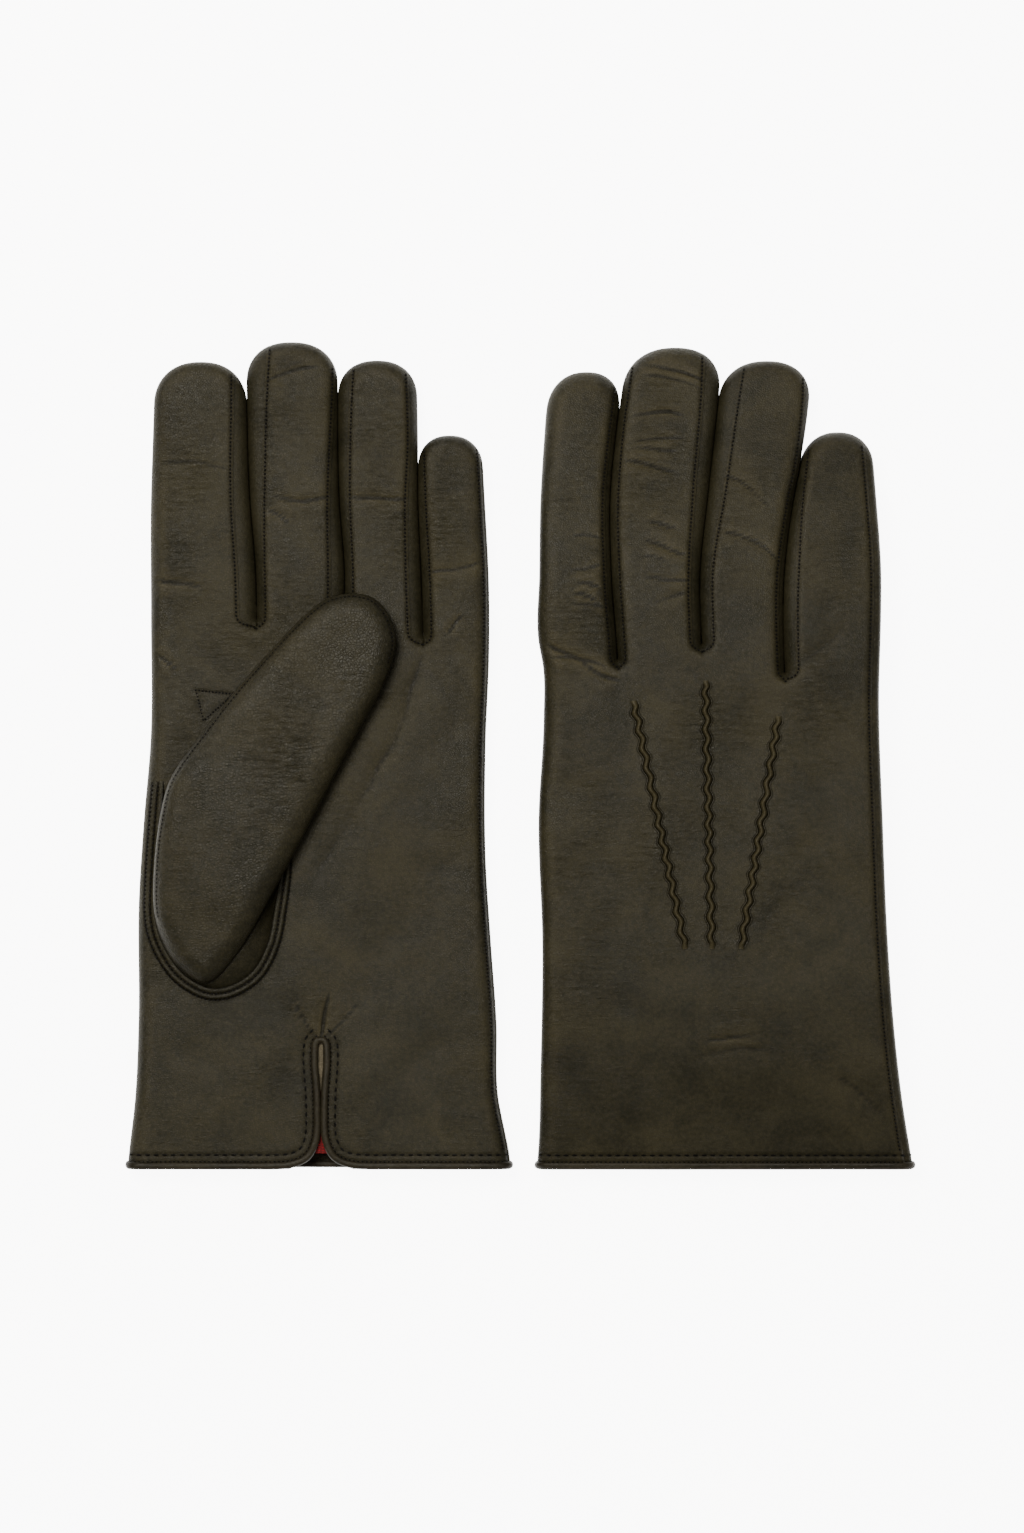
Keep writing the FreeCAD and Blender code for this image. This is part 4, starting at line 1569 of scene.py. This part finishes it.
@dataclass
class Thumb:
    """The thumb, its gusset, the lapped seam that they are sewn into, and the quirk beside it.

    Attributes:
        glove: the glove.
        left: its outline's left side, from its base to its tip.
        right: its outline's right side.
        hole: the outer row of the seam round its base.
        height: half its height.
        middle: how high its middle is above the hand's, from its base to its tip.
        edge: how far in from its outline it is rounded.
        band: the width of the lapped band of palm leather.
        rows: how far inside the hole's outer row of stitches each of its rows lies.
        count: how many points each side of the outline has.
        inner: how far inside the leather's face the lining lies.
    """

    glove: Glove
    left: tuple[tuple[float, float], ...] = (
        (-38.5, 57.5), (-44.2, 64), (-48.6, 76), (-48.6, 92), (-46.4, 108), (-43, 118), (-34, 130.5), (-24.7, 142.4),
        (-14, 154.5), (-6, 163), (0.5, 168.6), (5.5, 170.9), (11.0, 171.6))
    right: tuple[tuple[float, float], ...] = (
        (-38.5, 57.5), (-35, 55.6), (-31.5, 56.2), (-27, 60.5), (-19.6, 71), (-8.2, 92), (5.9, 119), (14, 134),
        (18.9, 143), (22.3, 152), (23.2, 158), (21.0, 165), (16.5, 170), (11.0, 171.6))
    hole: tuple[tuple[float, float], ...] = (
        (-49.6, 116), (-51.5, 104), (-52.4, 90), (-52.0, 76.6), (-50.2, 67.5), (-45.2, 58.5), (-38.8, 53), (-31.8, 50.5),
        (-24, 52), (-16.6, 57.4), (-11.8, 66.7), (-9.6, 78), (-8.4, 87.4), (-8.2, 98))
    height: float = 5.0
    edge: float = 6.5
    band: float = 3.5
    rows: tuple[float, float] = (0.0, 1.8)
    count: int = 500
    inner: float = 1.1
    middle: Line = Line(((0, 7.4), (0.1, 8.6), (0.25, 10.4), (0.4, 10.9), (1.0, 10.9)))

    @cached_property
    def sides(self) -> tuple[np.ndarray, np.ndarray]:
        """The two sides of the outline as evenly spaced points, as many on each."""
        return spread(spline(self.left, 0.25), self.count), spread(spline(self.right, 0.25), self.count)

    @cached_property
    def tree(self) -> KDTree:
        """The outline's points, for distances from it."""
        return tree_of(np.vstack(self.sides))

    @cached_property
    def hole_path(self) -> np.ndarray:
        """The outer row of the seam round its base, kept on the palm's face."""
        side = self.glove.form.left
        return spline([(max(x, float(side.at(y)) + 1.9), y) for x, y in self.hole], 0.3)

    def lift(self, y: np.ndarray) -> np.ndarray:
        """How high the thumb's middle is above the hand's at y."""
        return self.middle.at(np.clip((np.asarray(y, float) - 55) / 116, 0, 1))

    def shell(self, upper: int, inset: float = 0.0) -> bmesh.types.BMesh:
        """One face of the thumb.

        Args:
            upper: 1 for the face away from the palm, -1 for the one on it.
            inset: how far inside the leather's face it lies, in millimetres.

        Returns:
            Its sheet.
        """
        left, right = self.sides
        seed = self.glove.form.seed

        def place(u: np.ndarray, v: np.ndarray) -> np.ndarray:
            """The face's points."""
            i = np.rint(v * (self.count - 1)).astype(int)
            at = left[i] + (right[i] - left[i]) * u[:, None]
            x, y = at[:, 0], at[:, 1]
            inside = distances(self.tree, x, y)
            inside = np.where((u <= 0) | (u >= 1) | (v <= 0) | (v >= 1), 0.0, inside)
            away = self.seam_away(x, y)
            soft = 0.5 * ripple(x, y, 19.0, seed + 30) + 0.2 * ripple(x, y, 7.0, seed + 31)
            groove = 0.34 * np.exp(-((away / 0.55) ** 2)) if upper > 0 else 0.0
            z = (self.height * round_in(inside / self.edge) + (soft - groove) * smooth(inside / 3.0)) - inset
            return np.column_stack([x, y, self.lift(y) + upper * np.maximum(z, 0.0)])

        t = np.linspace(0, 1, 150)
        rows = (1 - np.cos(math.pi * t)) / 2
        return face_out(new_sheet(shares(40, 0.75), rows, place), lambda _: Vector((0, 0, upper)))

    @cached_property
    def seam(self) -> np.ndarray:
        """The thumb's own seam, inside its left side and round its tip."""
        left, right = self.sides
        edge = np.vstack([left[70:], right[:400:-1]])
        return resample(beside(edge, -1.15)[3:-3], 0.3)

    @cached_property
    def seam_tree(self) -> KDTree:
        """The seam's points."""
        return tree_of(self.seam)

    def seam_away(self, x: np.ndarray, y: np.ndarray) -> np.ndarray:
        """How far places are from the thumb's seam."""
        return distances(self.seam_tree, x, y)

    def skirt(self) -> bmesh.types.BMesh:
        """The gusset: leather rising from the seam in the palm to the thumb's outline."""
        outer = beside(self.hole_path, self.band - 0.2)
        left, right = self.sides
        around = np.vstack([left[190:0:-1], right[:200]])
        inner = spread(around, len(outer))
        form = self.glove.form

        def place(u: np.ndarray, v: np.ndarray) -> np.ndarray:
            """The gusset's points."""
            i = np.rint(v * (len(outer) - 1)).astype(int)
            at = outer[i] + (inner[i] - outer[i]) * (1 - (1 - u) ** 1.3)[:, None]
            low = form.ground(outer[i, 0], outer[i, 1], Side.PALM) - 0.1
            high = self.lift(inner[i, 1])
            return np.column_stack([at, low + (high - low) * np.sin(math.pi * u / 2)])

        rows = np.linspace(0, 1, 200)
        return face_out(new_sheet(shares(12), rows, place), lambda _: Vector((0, 0, 1)))

    def lapped(self) -> bmesh.types.BMesh:
        """The band of palm leather round the thumb's base, lying over the gusset."""
        path = self.hole_path
        form = self.glove.form
        count = len(path)
        ways = unit(np.gradient(path, axis=0))
        inward = np.column_stack([-ways[:, 1], ways[:, 0]])

        def place(u: np.ndarray, v: np.ndarray) -> np.ndarray:
            """The band's points."""
            i = np.rint(v * (count - 1)).astype(int)
            off = -1.2 + (self.band + 1.2) * u
            at = path[i] + inward[i] * off[:, None]
            z = form.ground(at[:, 0], at[:, 1], Side.PALM)
            ends = smooth(np.minimum(v, 1 - v) / 0.02)
            rise = 0.5 * smooth((off + 1.2) / 1.8) * ends
            groove = sum(0.3 * np.exp(-(((off - row) / 0.5) ** 2)) for row in self.rows)
            return np.column_stack([at, z + rise - groove * ends - 0.02])

        rows = np.linspace(0, 1, count)
        return face_out(new_sheet(shares(22), rows, place), lambda _: Vector((0, 0, 1)))

    def sew(self, path: np.ndarray, height: Callable[[np.ndarray, np.ndarray], np.ndarray], pitch: float
            ) -> bmesh.types.BMesh:
        """A row of stitches on a surface.

        Args:
            path: the row in plan.
            height: the surface.
            pitch: the distance between stitches.

        Returns:
            The stitches.
        """
        at = resample(path, pitch)
        ahead = np.gradient(at, axis=0)
        x, y = at[:, 0], at[:, 1]
        slope_x, slope_y = slopes(height, x, y)
        along = np.column_stack([ahead, slope_x * ahead[:, 0] + slope_y * ahead[:, 1]])
        up = np.column_stack([-slope_x, -slope_y, np.ones_like(x)])
        return Stitch().sew(np.column_stack([at, height(x, y)]), along, up)

    def top(self, x: np.ndarray, y: np.ndarray) -> np.ndarray:
        """The height of the thumb's upper face."""
        inside = distances(self.tree, x, y)
        return self.lift(y) + self.height * round_in(inside / self.edge) - 0.2

    def put(self, name: str, bm: bmesh.types.BMesh, material: str, slot: str) -> None:
        """A piece that stands for the node of its name and moves with the thumb, given as Glove.put's are; the thumb's
        leather gets painted shade on its lower half and in its seam's groove.
        """
        glove = self.glove
        shade = None
        if material == "thumb":
            x, y, z = points_of(bm).T
            # Painted shadow on the thumb's lower half, where it lies on the palm, and painted shade in its seam's
            # groove.
            low = 1 - smooth((z - self.lift(y) + 1.5) / 3.5)
            shade = {"seam": np.maximum(low, 0.45 * np.exp(-((self.seam_away(x, y) / 0.5) ** 2)))}
        obj = make_object(glove.node(name), bm, glove.placing, glove.wardrobe.materials[material], shade, SOFT)
        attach(obj, glove.node("thumb"))
        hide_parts(glove.node(name))

    def dress(self) -> None:
        """Makes the thumb and joins it to the glove."""
        glove, form = self.glove, self.glove.form
        leather = merged([self.shell(1), self.shell(-1)], 0.02)
        self.put("thumb_leather", leather, "thumb", "thumb_leather")
        lining = merged([self.shell(1, self.inner), self.shell(-1, self.inner)], 0.02)
        self.put("thumb_lining", lining, "lining", "lining")
        self.put("thumb_stitching", self.sew(self.seam, self.top, 1.25), "thread", "thread")
        skirt = self.skirt()
        height = points_of(skirt)[:, 2]
        # Painted shade on the gusset, low down under the lapped band and high up under the thumb's outline.
        shade = {"seam": np.maximum(1 - smooth((height - 4.6) / 1.6), smooth((height - 7.5) / 2.5))}
        material = glove.wardrobe.materials["thumb"]
        gusset = make_object(glove.node("thumb_gusset"), skirt, glove.placing, material, shade, SOFT)
        low, high = glove.point(-30, 70, 5.2), glove.point(-30, 70, 9.0)
        glove.node("hand")
        glove.node("thumb")
        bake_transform(gusset)
        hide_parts(glove.node("thumb_gusset"))
        path = self.hole_path
        band = self.lapped()
        x, y, _ = points_of(band).T
        away = distances(tree_of(path), x, y)
        # Painted shade along both rows of stitches and along the band's inner edge, where it laps over the gusset.
        near = np.maximum(*(np.exp(-(((away - row) / 0.4) ** 2)) for row in self.rows))
        near = np.maximum(0.9 * near, smooth((away - self.band + 0.5) / 0.4))
        glove.put("thumb_hole_lap", band, "leather", "leather", [], sharp=SOFT, shade=near)

        def level(x: np.ndarray, y: np.ndarray) -> np.ndarray:
            """The height of the lapped band."""
            return form.ground(x, y, Side.PALM) + 0.38

        rows = [self.sew(beside(path, row)[6:-6], level, 1.3) for row in self.rows]
        glove.put("thumb_hole_stitching", merged(rows), "thread", "thread", ["thumb_hole_stitching"])


@dataclass
class Linings:
    """The knitted lining of a glove's hand and fingers.

    Attributes:
        glove: the glove.
        inside: how far it lies inside the leather's face.
        low: where it starts above the cuff's edge.
        divide: where it divides into fingers.
    """

    glove: Glove
    inside: float = 1.5
    low: float = 4.6
    divide: float = 143.0

    def sheet(self, side: Side, finger: int | None) -> bmesh.types.BMesh:
        """One face of the lining, of the hand or of a finger."""
        form = self.glove.form

        def place(u: np.ndarray, v: np.ndarray) -> np.ndarray:
            """The lining's points."""
            if finger is None:
                y = self.low + (self.divide - self.low) * v
                lo, hi = form.left.at(y), form.right.at(y)
            else:
                tip = form.tips[finger]
                y = self.divide + (tip.y - tip.rounding - self.divide) * v
                lo, hi = form.span(finger, y)
            x = lo + self.inside + (hi - lo - 2 * self.inside) * u
            band = None if finger is None else np.full(x.shape, finger)
            z = np.maximum(form.ground(x, y, side, band) - self.inside, 0.0)
            return np.column_stack([x, y, side.value * (z * smooth(np.minimum(u, 1 - u) / 0.02))])

        across, along = (90, 90) if finger is None else (24, 40)
        bm = new_sheet(shares(across, 0.6), np.linspace(0, 1, along), place)
        return face_out(bm, lambda _: Vector((0, 0, side.value)))

    def dress(self) -> None:
        """Makes the linings and joins them to the glove."""
        both = merged([self.sheet(side, None) for side in Side], 0.02)
        self.glove.put("hand_lining", both, "lining", "lining", ["hand_lining"])
        for k, name in enumerate(FINGERS):
            both = merged([self.sheet(side, k) for side in Side], 0.02)
            self.glove.put(f"{name}_lining", both, "lining", "lining", [f"{name}_lining"], k)


@dataclass(frozen=True)
class Studio:
    """A pale table, soft light from above, and a camera that looks straight down.

    Attributes:
        table: the side of the table, in metres.
        lens: the camera's lens, in millimetres.
        aim: the point that the camera looks at.
        view: the height of what it sees, in metres.
        warmth: the light's colour.
        ambient: how bright the surroundings are.
        under: how high the table's top lies, in metres.
        glow: how much the table glows for the light's paths, and for the camera.
    """

    table: float = 6.0
    lens: float = 120.0
    aim: tuple[float, float] = (-0.0022, -0.003)
    view: float = 0.46
    warmth: tuple[float, float, float] = (1.0, 0.96, 0.86)
    ambient: float = 0.14
    under: float = -0.0012
    glow: tuple[float, float] = (1.6, 9.0)

    def area_light(self, name: str, at: tuple[float, float, float], size: float, watts: float) -> None:
        """A soft light that shines at the gloves."""
        light = bpy.data.lights.new(name, "AREA")
        light.shape, light.size, light.energy = "SQUARE", size, watts
        light.color = self.warmth
        obj = bpy.data.objects.new(name, light)
        bpy.context.scene.collection.objects.link(obj)
        obj.location = at
        obj.rotation_euler = (-Vector(at)).to_track_quat("-Z", "Y").to_euler()

    def build(self) -> None:
        """Makes the table, the lights and the camera."""
        bm = bmesh.new()
        bmesh.ops.create_grid(bm, x_segments=1, y_segments=1, size=self.table / 2)
        mesh = bpy.data.meshes.new("table")
        bm.to_mesh(mesh)
        bm.free()
        material = bpy.data.materials.new("table")
        material.use_nodes = True
        shader = material.node_tree.nodes["Principled BSDF"]
        shader.inputs["Base Color"].default_value = (0.95, 0.95, 0.95, 1)
        shader.inputs["Roughness"].default_value = 0.8
        shader.inputs["Emission Color"].default_value = (1, 1, 1, 1)
        nodes, links = material.node_tree.nodes, material.node_tree.links
        path, glow = nodes.new("ShaderNodeLightPath"), nodes.new("ShaderNodeMapRange")
        glow.inputs["To Min"].default_value, glow.inputs["To Max"].default_value = self.glow
        links.new(path.outputs["Is Camera Ray"], glow.inputs["Value"])
        links.new(glow.outputs["Result"], shader.inputs["Emission Strength"])
        mesh.materials.append(material)
        table = bpy.data.objects.new("table", mesh)
        table.location = (0, 0, self.under)
        bpy.context.scene.collection.objects.link(table)
        world = bpy.data.worlds.new("world")
        world.use_nodes = True
        background = world.node_tree.nodes["Background"]
        background.inputs["Color"].default_value = (*self.warmth, 1)
        background.inputs["Strength"].default_value = self.ambient
        bpy.context.scene.world = world
        self.area_light("key", (-0.35, 0.42, 1.35), 0.55, 25.5)
        self.area_light("fill", (0.9, -0.3, 1.5), 1.0, 5.0)
        camera = bpy.data.cameras.new("camera")
        camera.lens = self.lens
        obj = bpy.data.objects.new("camera", camera)
        away = self.view / camera.sensor_width * self.lens
        obj.location = (self.aim[0], self.aim[1], away)
        camera.clip_end = 10.0
        bpy.context.scene.collection.objects.link(obj)
        bpy.context.scene.camera = obj


def ramp(root: float, tip: float, y_tip: float = 235.0) -> Line:
    """A line from one value at the finger's root to another by its tip."""
    return Line(((165.0, root), (177.0, root), ((177.0 + y_tip) / 2, (root + tip) / 2), (y_tip, tip)))


@dataclass(frozen=True)
class Pair:
    """The two gloves: their plans in millimetres.

    Attributes:
        left_edge: the left glove's cuff's left x in its own plan.
        right_edge: the same for the right glove.
        crotch: where the slits between the fingers end, on each face of both gloves.
    """

    left_edge: float = -57.0
    right_edge: float = -50.4
    crotch: ClassVar[dict[Side, tuple[float, float, float]]] = {
        Side.PALM: (161.6, 165.5, 156.6), Side.BACK: (149.6, 154.4, 146.0)}

    def left_form(self) -> GloveForm:
        """The left glove's form."""
        return GloveForm(
            left=Line(((0, -57.4), (5, -56.9), (20, -55.2), (44, -54.1), (80, -54.0), (104, -52.5), (128, -50.5),
                       (165, -50.4), (200, -50.4), (219, -49.8), (245, -49.0))),
            right=Line(((0, 57.3), (5, 56.7), (11, 55.5), (20, 53.7), (44, 53.0), (68, 51.3), (92, 49.8), (128, 49.8),
                        (153, 50.8), (173, 50.8), (200, 49.5), (220, 48.4))),
            slits=(Line(((0, -27.5), (60, -25.5), (120, -20.0), (161, -18.65), (177, -18.9), (200, -20.7), (231, -21.7),
                         (245, -22.0))),
                   Line(((0, 0.7), (42, 0.75), (80, 3.0), (130, 6.6), (165, 7.45), (177, 7.6), (200, 6.0), (235, 5.5),
                         (248, 5.4))),
                   Line(((0, 28.5), (60, 28.0), (120, 30.4), (156, 31.1), (177, 30.5), (200, 29.5), (216, 29.5),
                         (243, 29.0)))),
            gaps=(Line(((150, 2.0), (177, 2.3), (200, 2.5), (231, 1.5), (240, 1.6))),
                  Line(((150, 2.2), (177, 2.4), (200, 1.5), (235, 0.5), (245, 0.8))),
                  Line(((150, 2.2), (177, 2.4), (200, 1.5), (216, 0.4), (240, 1.5)))),
            crotch=self.crotch,
            tips=(Tip(241.0, 13.5), Tip(246.9, 13.0), Tip(241.4, 11.5), Tip(219.0, 10.0)),
            strips={Side.PALM: ((ramp(4.0, 2.7), ramp(0.8, 5.0)), (ramp(2.8, 0.4), ramp(0.5, 3.5)),
                                (ramp(2.5, 1.7), ramp(0.5, 0.8, 215))),
                    Side.BACK: ((ramp(1.5, 1.2), ramp(1.2, 2.0)), (ramp(1.6, 1.6), ramp(1.6, 1.6)),
                                (ramp(1.6, 1.6), ramp(1.6, 1.0, 215)))},
            seam_face=Side.PALM, seam_inset=0.65, seed=3.0,
            creases=creases_on(
                Side.PALM,
                ((-14, 235), (-2, 239.5), 0.9, 1.1, 0.5), ((-12.6, 200.5), (4, 200.5), 0.8, 1.1, -0.8),
                ((-15, 196), (-9, 192), 0.7, 0.9, 0.2), ((9, 200.5), (27, 200), 0.9, 1.1, -0.9),
                ((32.5, 178.6), (49.4, 180.5), 0.9, 1.0, -0.7), ((-47, 210.5), (-26, 209), 0.5, 1.2, 0.6),
                ((-50, 176), (-34.8, 173), 1.0, 1.2, 0.8), ((-49.5, 154), (-42.6, 149), 0.8, 1.0, 0.5),
                ((38.6, 160), (42.5, 165), 0.7, 0.9, 0.2), ((31, 154), (14, 112), 1.3, 3.2, 2.0),
                ((14, 112), (-4, 78), 0.9, 4.0, -1.0), ((0.5, 40), (3, 52), 1.0, 1.2, 0.3),
                ((-1, 40), (-7, 49), 0.6, 1.0, 0.3), ((2, 40), (11, 48), 0.6, 1.0, -0.3),
                ((10, 16), (44, 40), 0.7, 7.0, 2.0), ((14, 52), (44, 96), 0.8, 8.0, 3.0),
                ((-48, 36), (-20, 24), 0.7, 7.0, 1.5), ((26, 120), (46, 134), 0.6, 6.0, 0.0)))

    def right_form(self) -> GloveForm:
        """The right glove's form."""
        return GloveForm(
            left=Line(((0, -51.4), (5, -51.0), (30, -50.3), (68, -49.8), (104, -50.9), (134, -49.4), (149, -49.5),
                       (158, -51.0), (177, -50.7), (200, -50.3), (221, -49.0), (240, -47.5))),
            right=Line(((0, 61.2), (5, 60.3), (20, 57.7), (44, 54.7), (68, 52.9), (104, 51.4), (140, 50.3), (165, 50.9),
                        (176, 51.0), (200, 49.8), (220, 48.6))),
            slits=(Line(((0, -24.0), (60, -24.5), (120, -26.5), (150, -27.3), (177, -29.2), (200, -29.5), (220, -27.6),
                         (235, -25.6), (245, -24.5))),
                   Line(((0, 1.5), (60, 0.0), (120, -1.8), (154, -2.4), (177, -2.9), (200, -0.5), (231, 3.0),
                         (247, 4.6))),
                   Line(((0, 29.0), (60, 26.5), (120, 23.0), (146, 22.2), (177, 22.1), (200, 25.1), (212, 27.4),
                         (230, 30.0), (243, 31.0)))),
            gaps=(Line(((145, 1.8), (177, 2.0), (200, 1.5), (235, 0.7), (244, 1.4))),
                  Line(((145, 1.6), (177, 1.8), (200, 2.0), (231, 1.0), (245, 1.4))),
                  Line(((145, 2.0), (177, 2.2), (200, 1.3), (212, 0.8), (240, 2.5)))),
            crotch=self.crotch,
            tips=(Tip(238.0, 13.0), Tip(245.3, 13.5), Tip(241.3, 12.5), Tip(220.0, 10.5)),
            strips={Side.PALM: ((ramp(2.0, 2.0), ramp(2.0, 2.0)), (ramp(1.6, 1.6), ramp(1.6, 1.6)),
                                (ramp(1.6, 1.6), ramp(1.2, 1.0, 215))),
                    Side.BACK: ((ramp(0.5, 1.2), ramp(0.5, 0.9)), (ramp(1.9, 4.3), ramp(1.8, 5.0)),
                                (ramp(0.4, 0.5), ramp(2.1, 0.5, 215)))},
            seam_face=Side.BACK, seam_inset=2.5, seed=11.0,
            creases=creases_on(
                Side.BACK,
                ((-22.8, 224.5), (-9, 224.5), 0.9, 1.0, 0.6), ((-23, 216.8), (-9, 217.2), 0.6, 0.8, 0.3),
                ((-22, 214.8), (-10, 213.6), 0.45, 0.8, -0.2), ((-20, 182), (-13, 181), 0.6, 0.9, 0.3),
                ((-19, 175.8), (-6.5, 175), 0.6, 0.9, 0.5), ((-16.7, 168.7), (-7.2, 171), 0.5, 0.9, 0.2),
                ((-42, 178.5), (-32.5, 179.6), 0.7, 0.9, -0.4),
                ((-42, 168.6), (-31.5, 166.8), 0.5, 0.8, 0.3),
                ((-40, 188.4), (-32.5, 187.4), 0.5, 0.9, 0.3), ((-47.5, 152.4), (-32, 150), 0.6, 1.1, 0.6),
                ((4, 206.5), (18, 197), 0.6, 1.1, 0.8), ((24.5, 148), (39.5, 160), 0.7, 3.0, 0.8),
                ((-25, 211), (-10.5, 207.3), 1.1, 1.2, 0.8), ((-18, 193), (-9.8, 190.6), 0.8, 1.0, 0.3),
                ((-19, 187), (-7.5, 183), 0.9, 1.1, 0.5), ((-19.7, 239.4), (-2.9, 235.6), 0.8, 0.9, 0.9),
                ((-18, 236.6), (-4, 232.8), 0.6, 0.8, 0.9), ((4.7, 188.7), (10.8, 187.5), 1.1, 1.1, 0.2),
                ((10.8, 187.5), (20.7, 181), 1.1, 1.2, 0.4), ((-41, 175), (-33, 172.5), 0.6, 0.8, 0.4),
                ((-40, 171), (-34, 169), 0.5, 0.7, 0.3), ((-49.6, 157), (-38, 151), 1.1, 1.4, 0.6),
                ((-38, 151), (-27.4, 145.8), 0.9, 1.3, -0.4), ((-44, 92), (-24, 90), 1.0, 7.0, 0.0),
                ((-4, 34), (18, 36), 0.7, 2.4, 0.8), ((0, 39), (14, 40.5), 0.7, 1.2, 0.5),
                ((34, 30), (55, 13), 0.9, 3.2, 1.0), ((-46, 56), (-14, 44), 0.7, 7.0, 1.0),
                ((22, 66), (46, 44), 0.6, 6.0, 1.0), ((28, 120), (44, 96), 0.6, 6.0, 1.0)))

    def gloves(self, wardrobe: Wardrobe) -> list[Glove]:
        """Both gloves in their places."""
        low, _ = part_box("left_cuff_binding")
        base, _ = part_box("left_back_leather")
        left_form, right_form = self.left_form(), self.right_form()
        left = Glove("left", left_form, Placing(low.x - self.left_edge * MM, low.y,
                     base.z + left_form.half_height * MM, True), (None,) * 4, wardrobe)
        low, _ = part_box("right_cuff_binding")
        _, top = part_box("right_back_leather")
        middle = top.z - right_form.half_height * MM
        fall = middle / MM - right_form.half_height
        cuff = Line(((-8, fall * 1.12), (0, fall * 0.97), (18, fall * 0.58), (34, fall * 0.25), (50, fall * 0.04),
                     (64, 0.0), (100, 0.0), (168, 0.0)))
        sags = tuple(Line(((150, 0.0), (168, 0.0), (180, 0.06 * fall), (192, 0.24 * fall),
                           ((192 + tip.y) / 2, 0.63 * fall), (tip.y, fall))) for tip in right_form.tips)
        right = Glove("right", right_form, Placing(low.x - self.right_edge * MM, low.y, middle, False, cuff), sags,
                      wardrobe)
        return [left, right]


def main() -> None:
    """Builds the gloves and the studio."""
    logging.basicConfig(level=logging.INFO, format="%(name)s: %(message)s")
    for glove in Pair().gloves(Wardrobe()):
        for part in (Cover, SideStrips, Sewing, CuffEdge, BackPoints, Thumb, Linings):
            part(glove).dress()
    Studio().build()


if __name__ == "__main__":
    main()
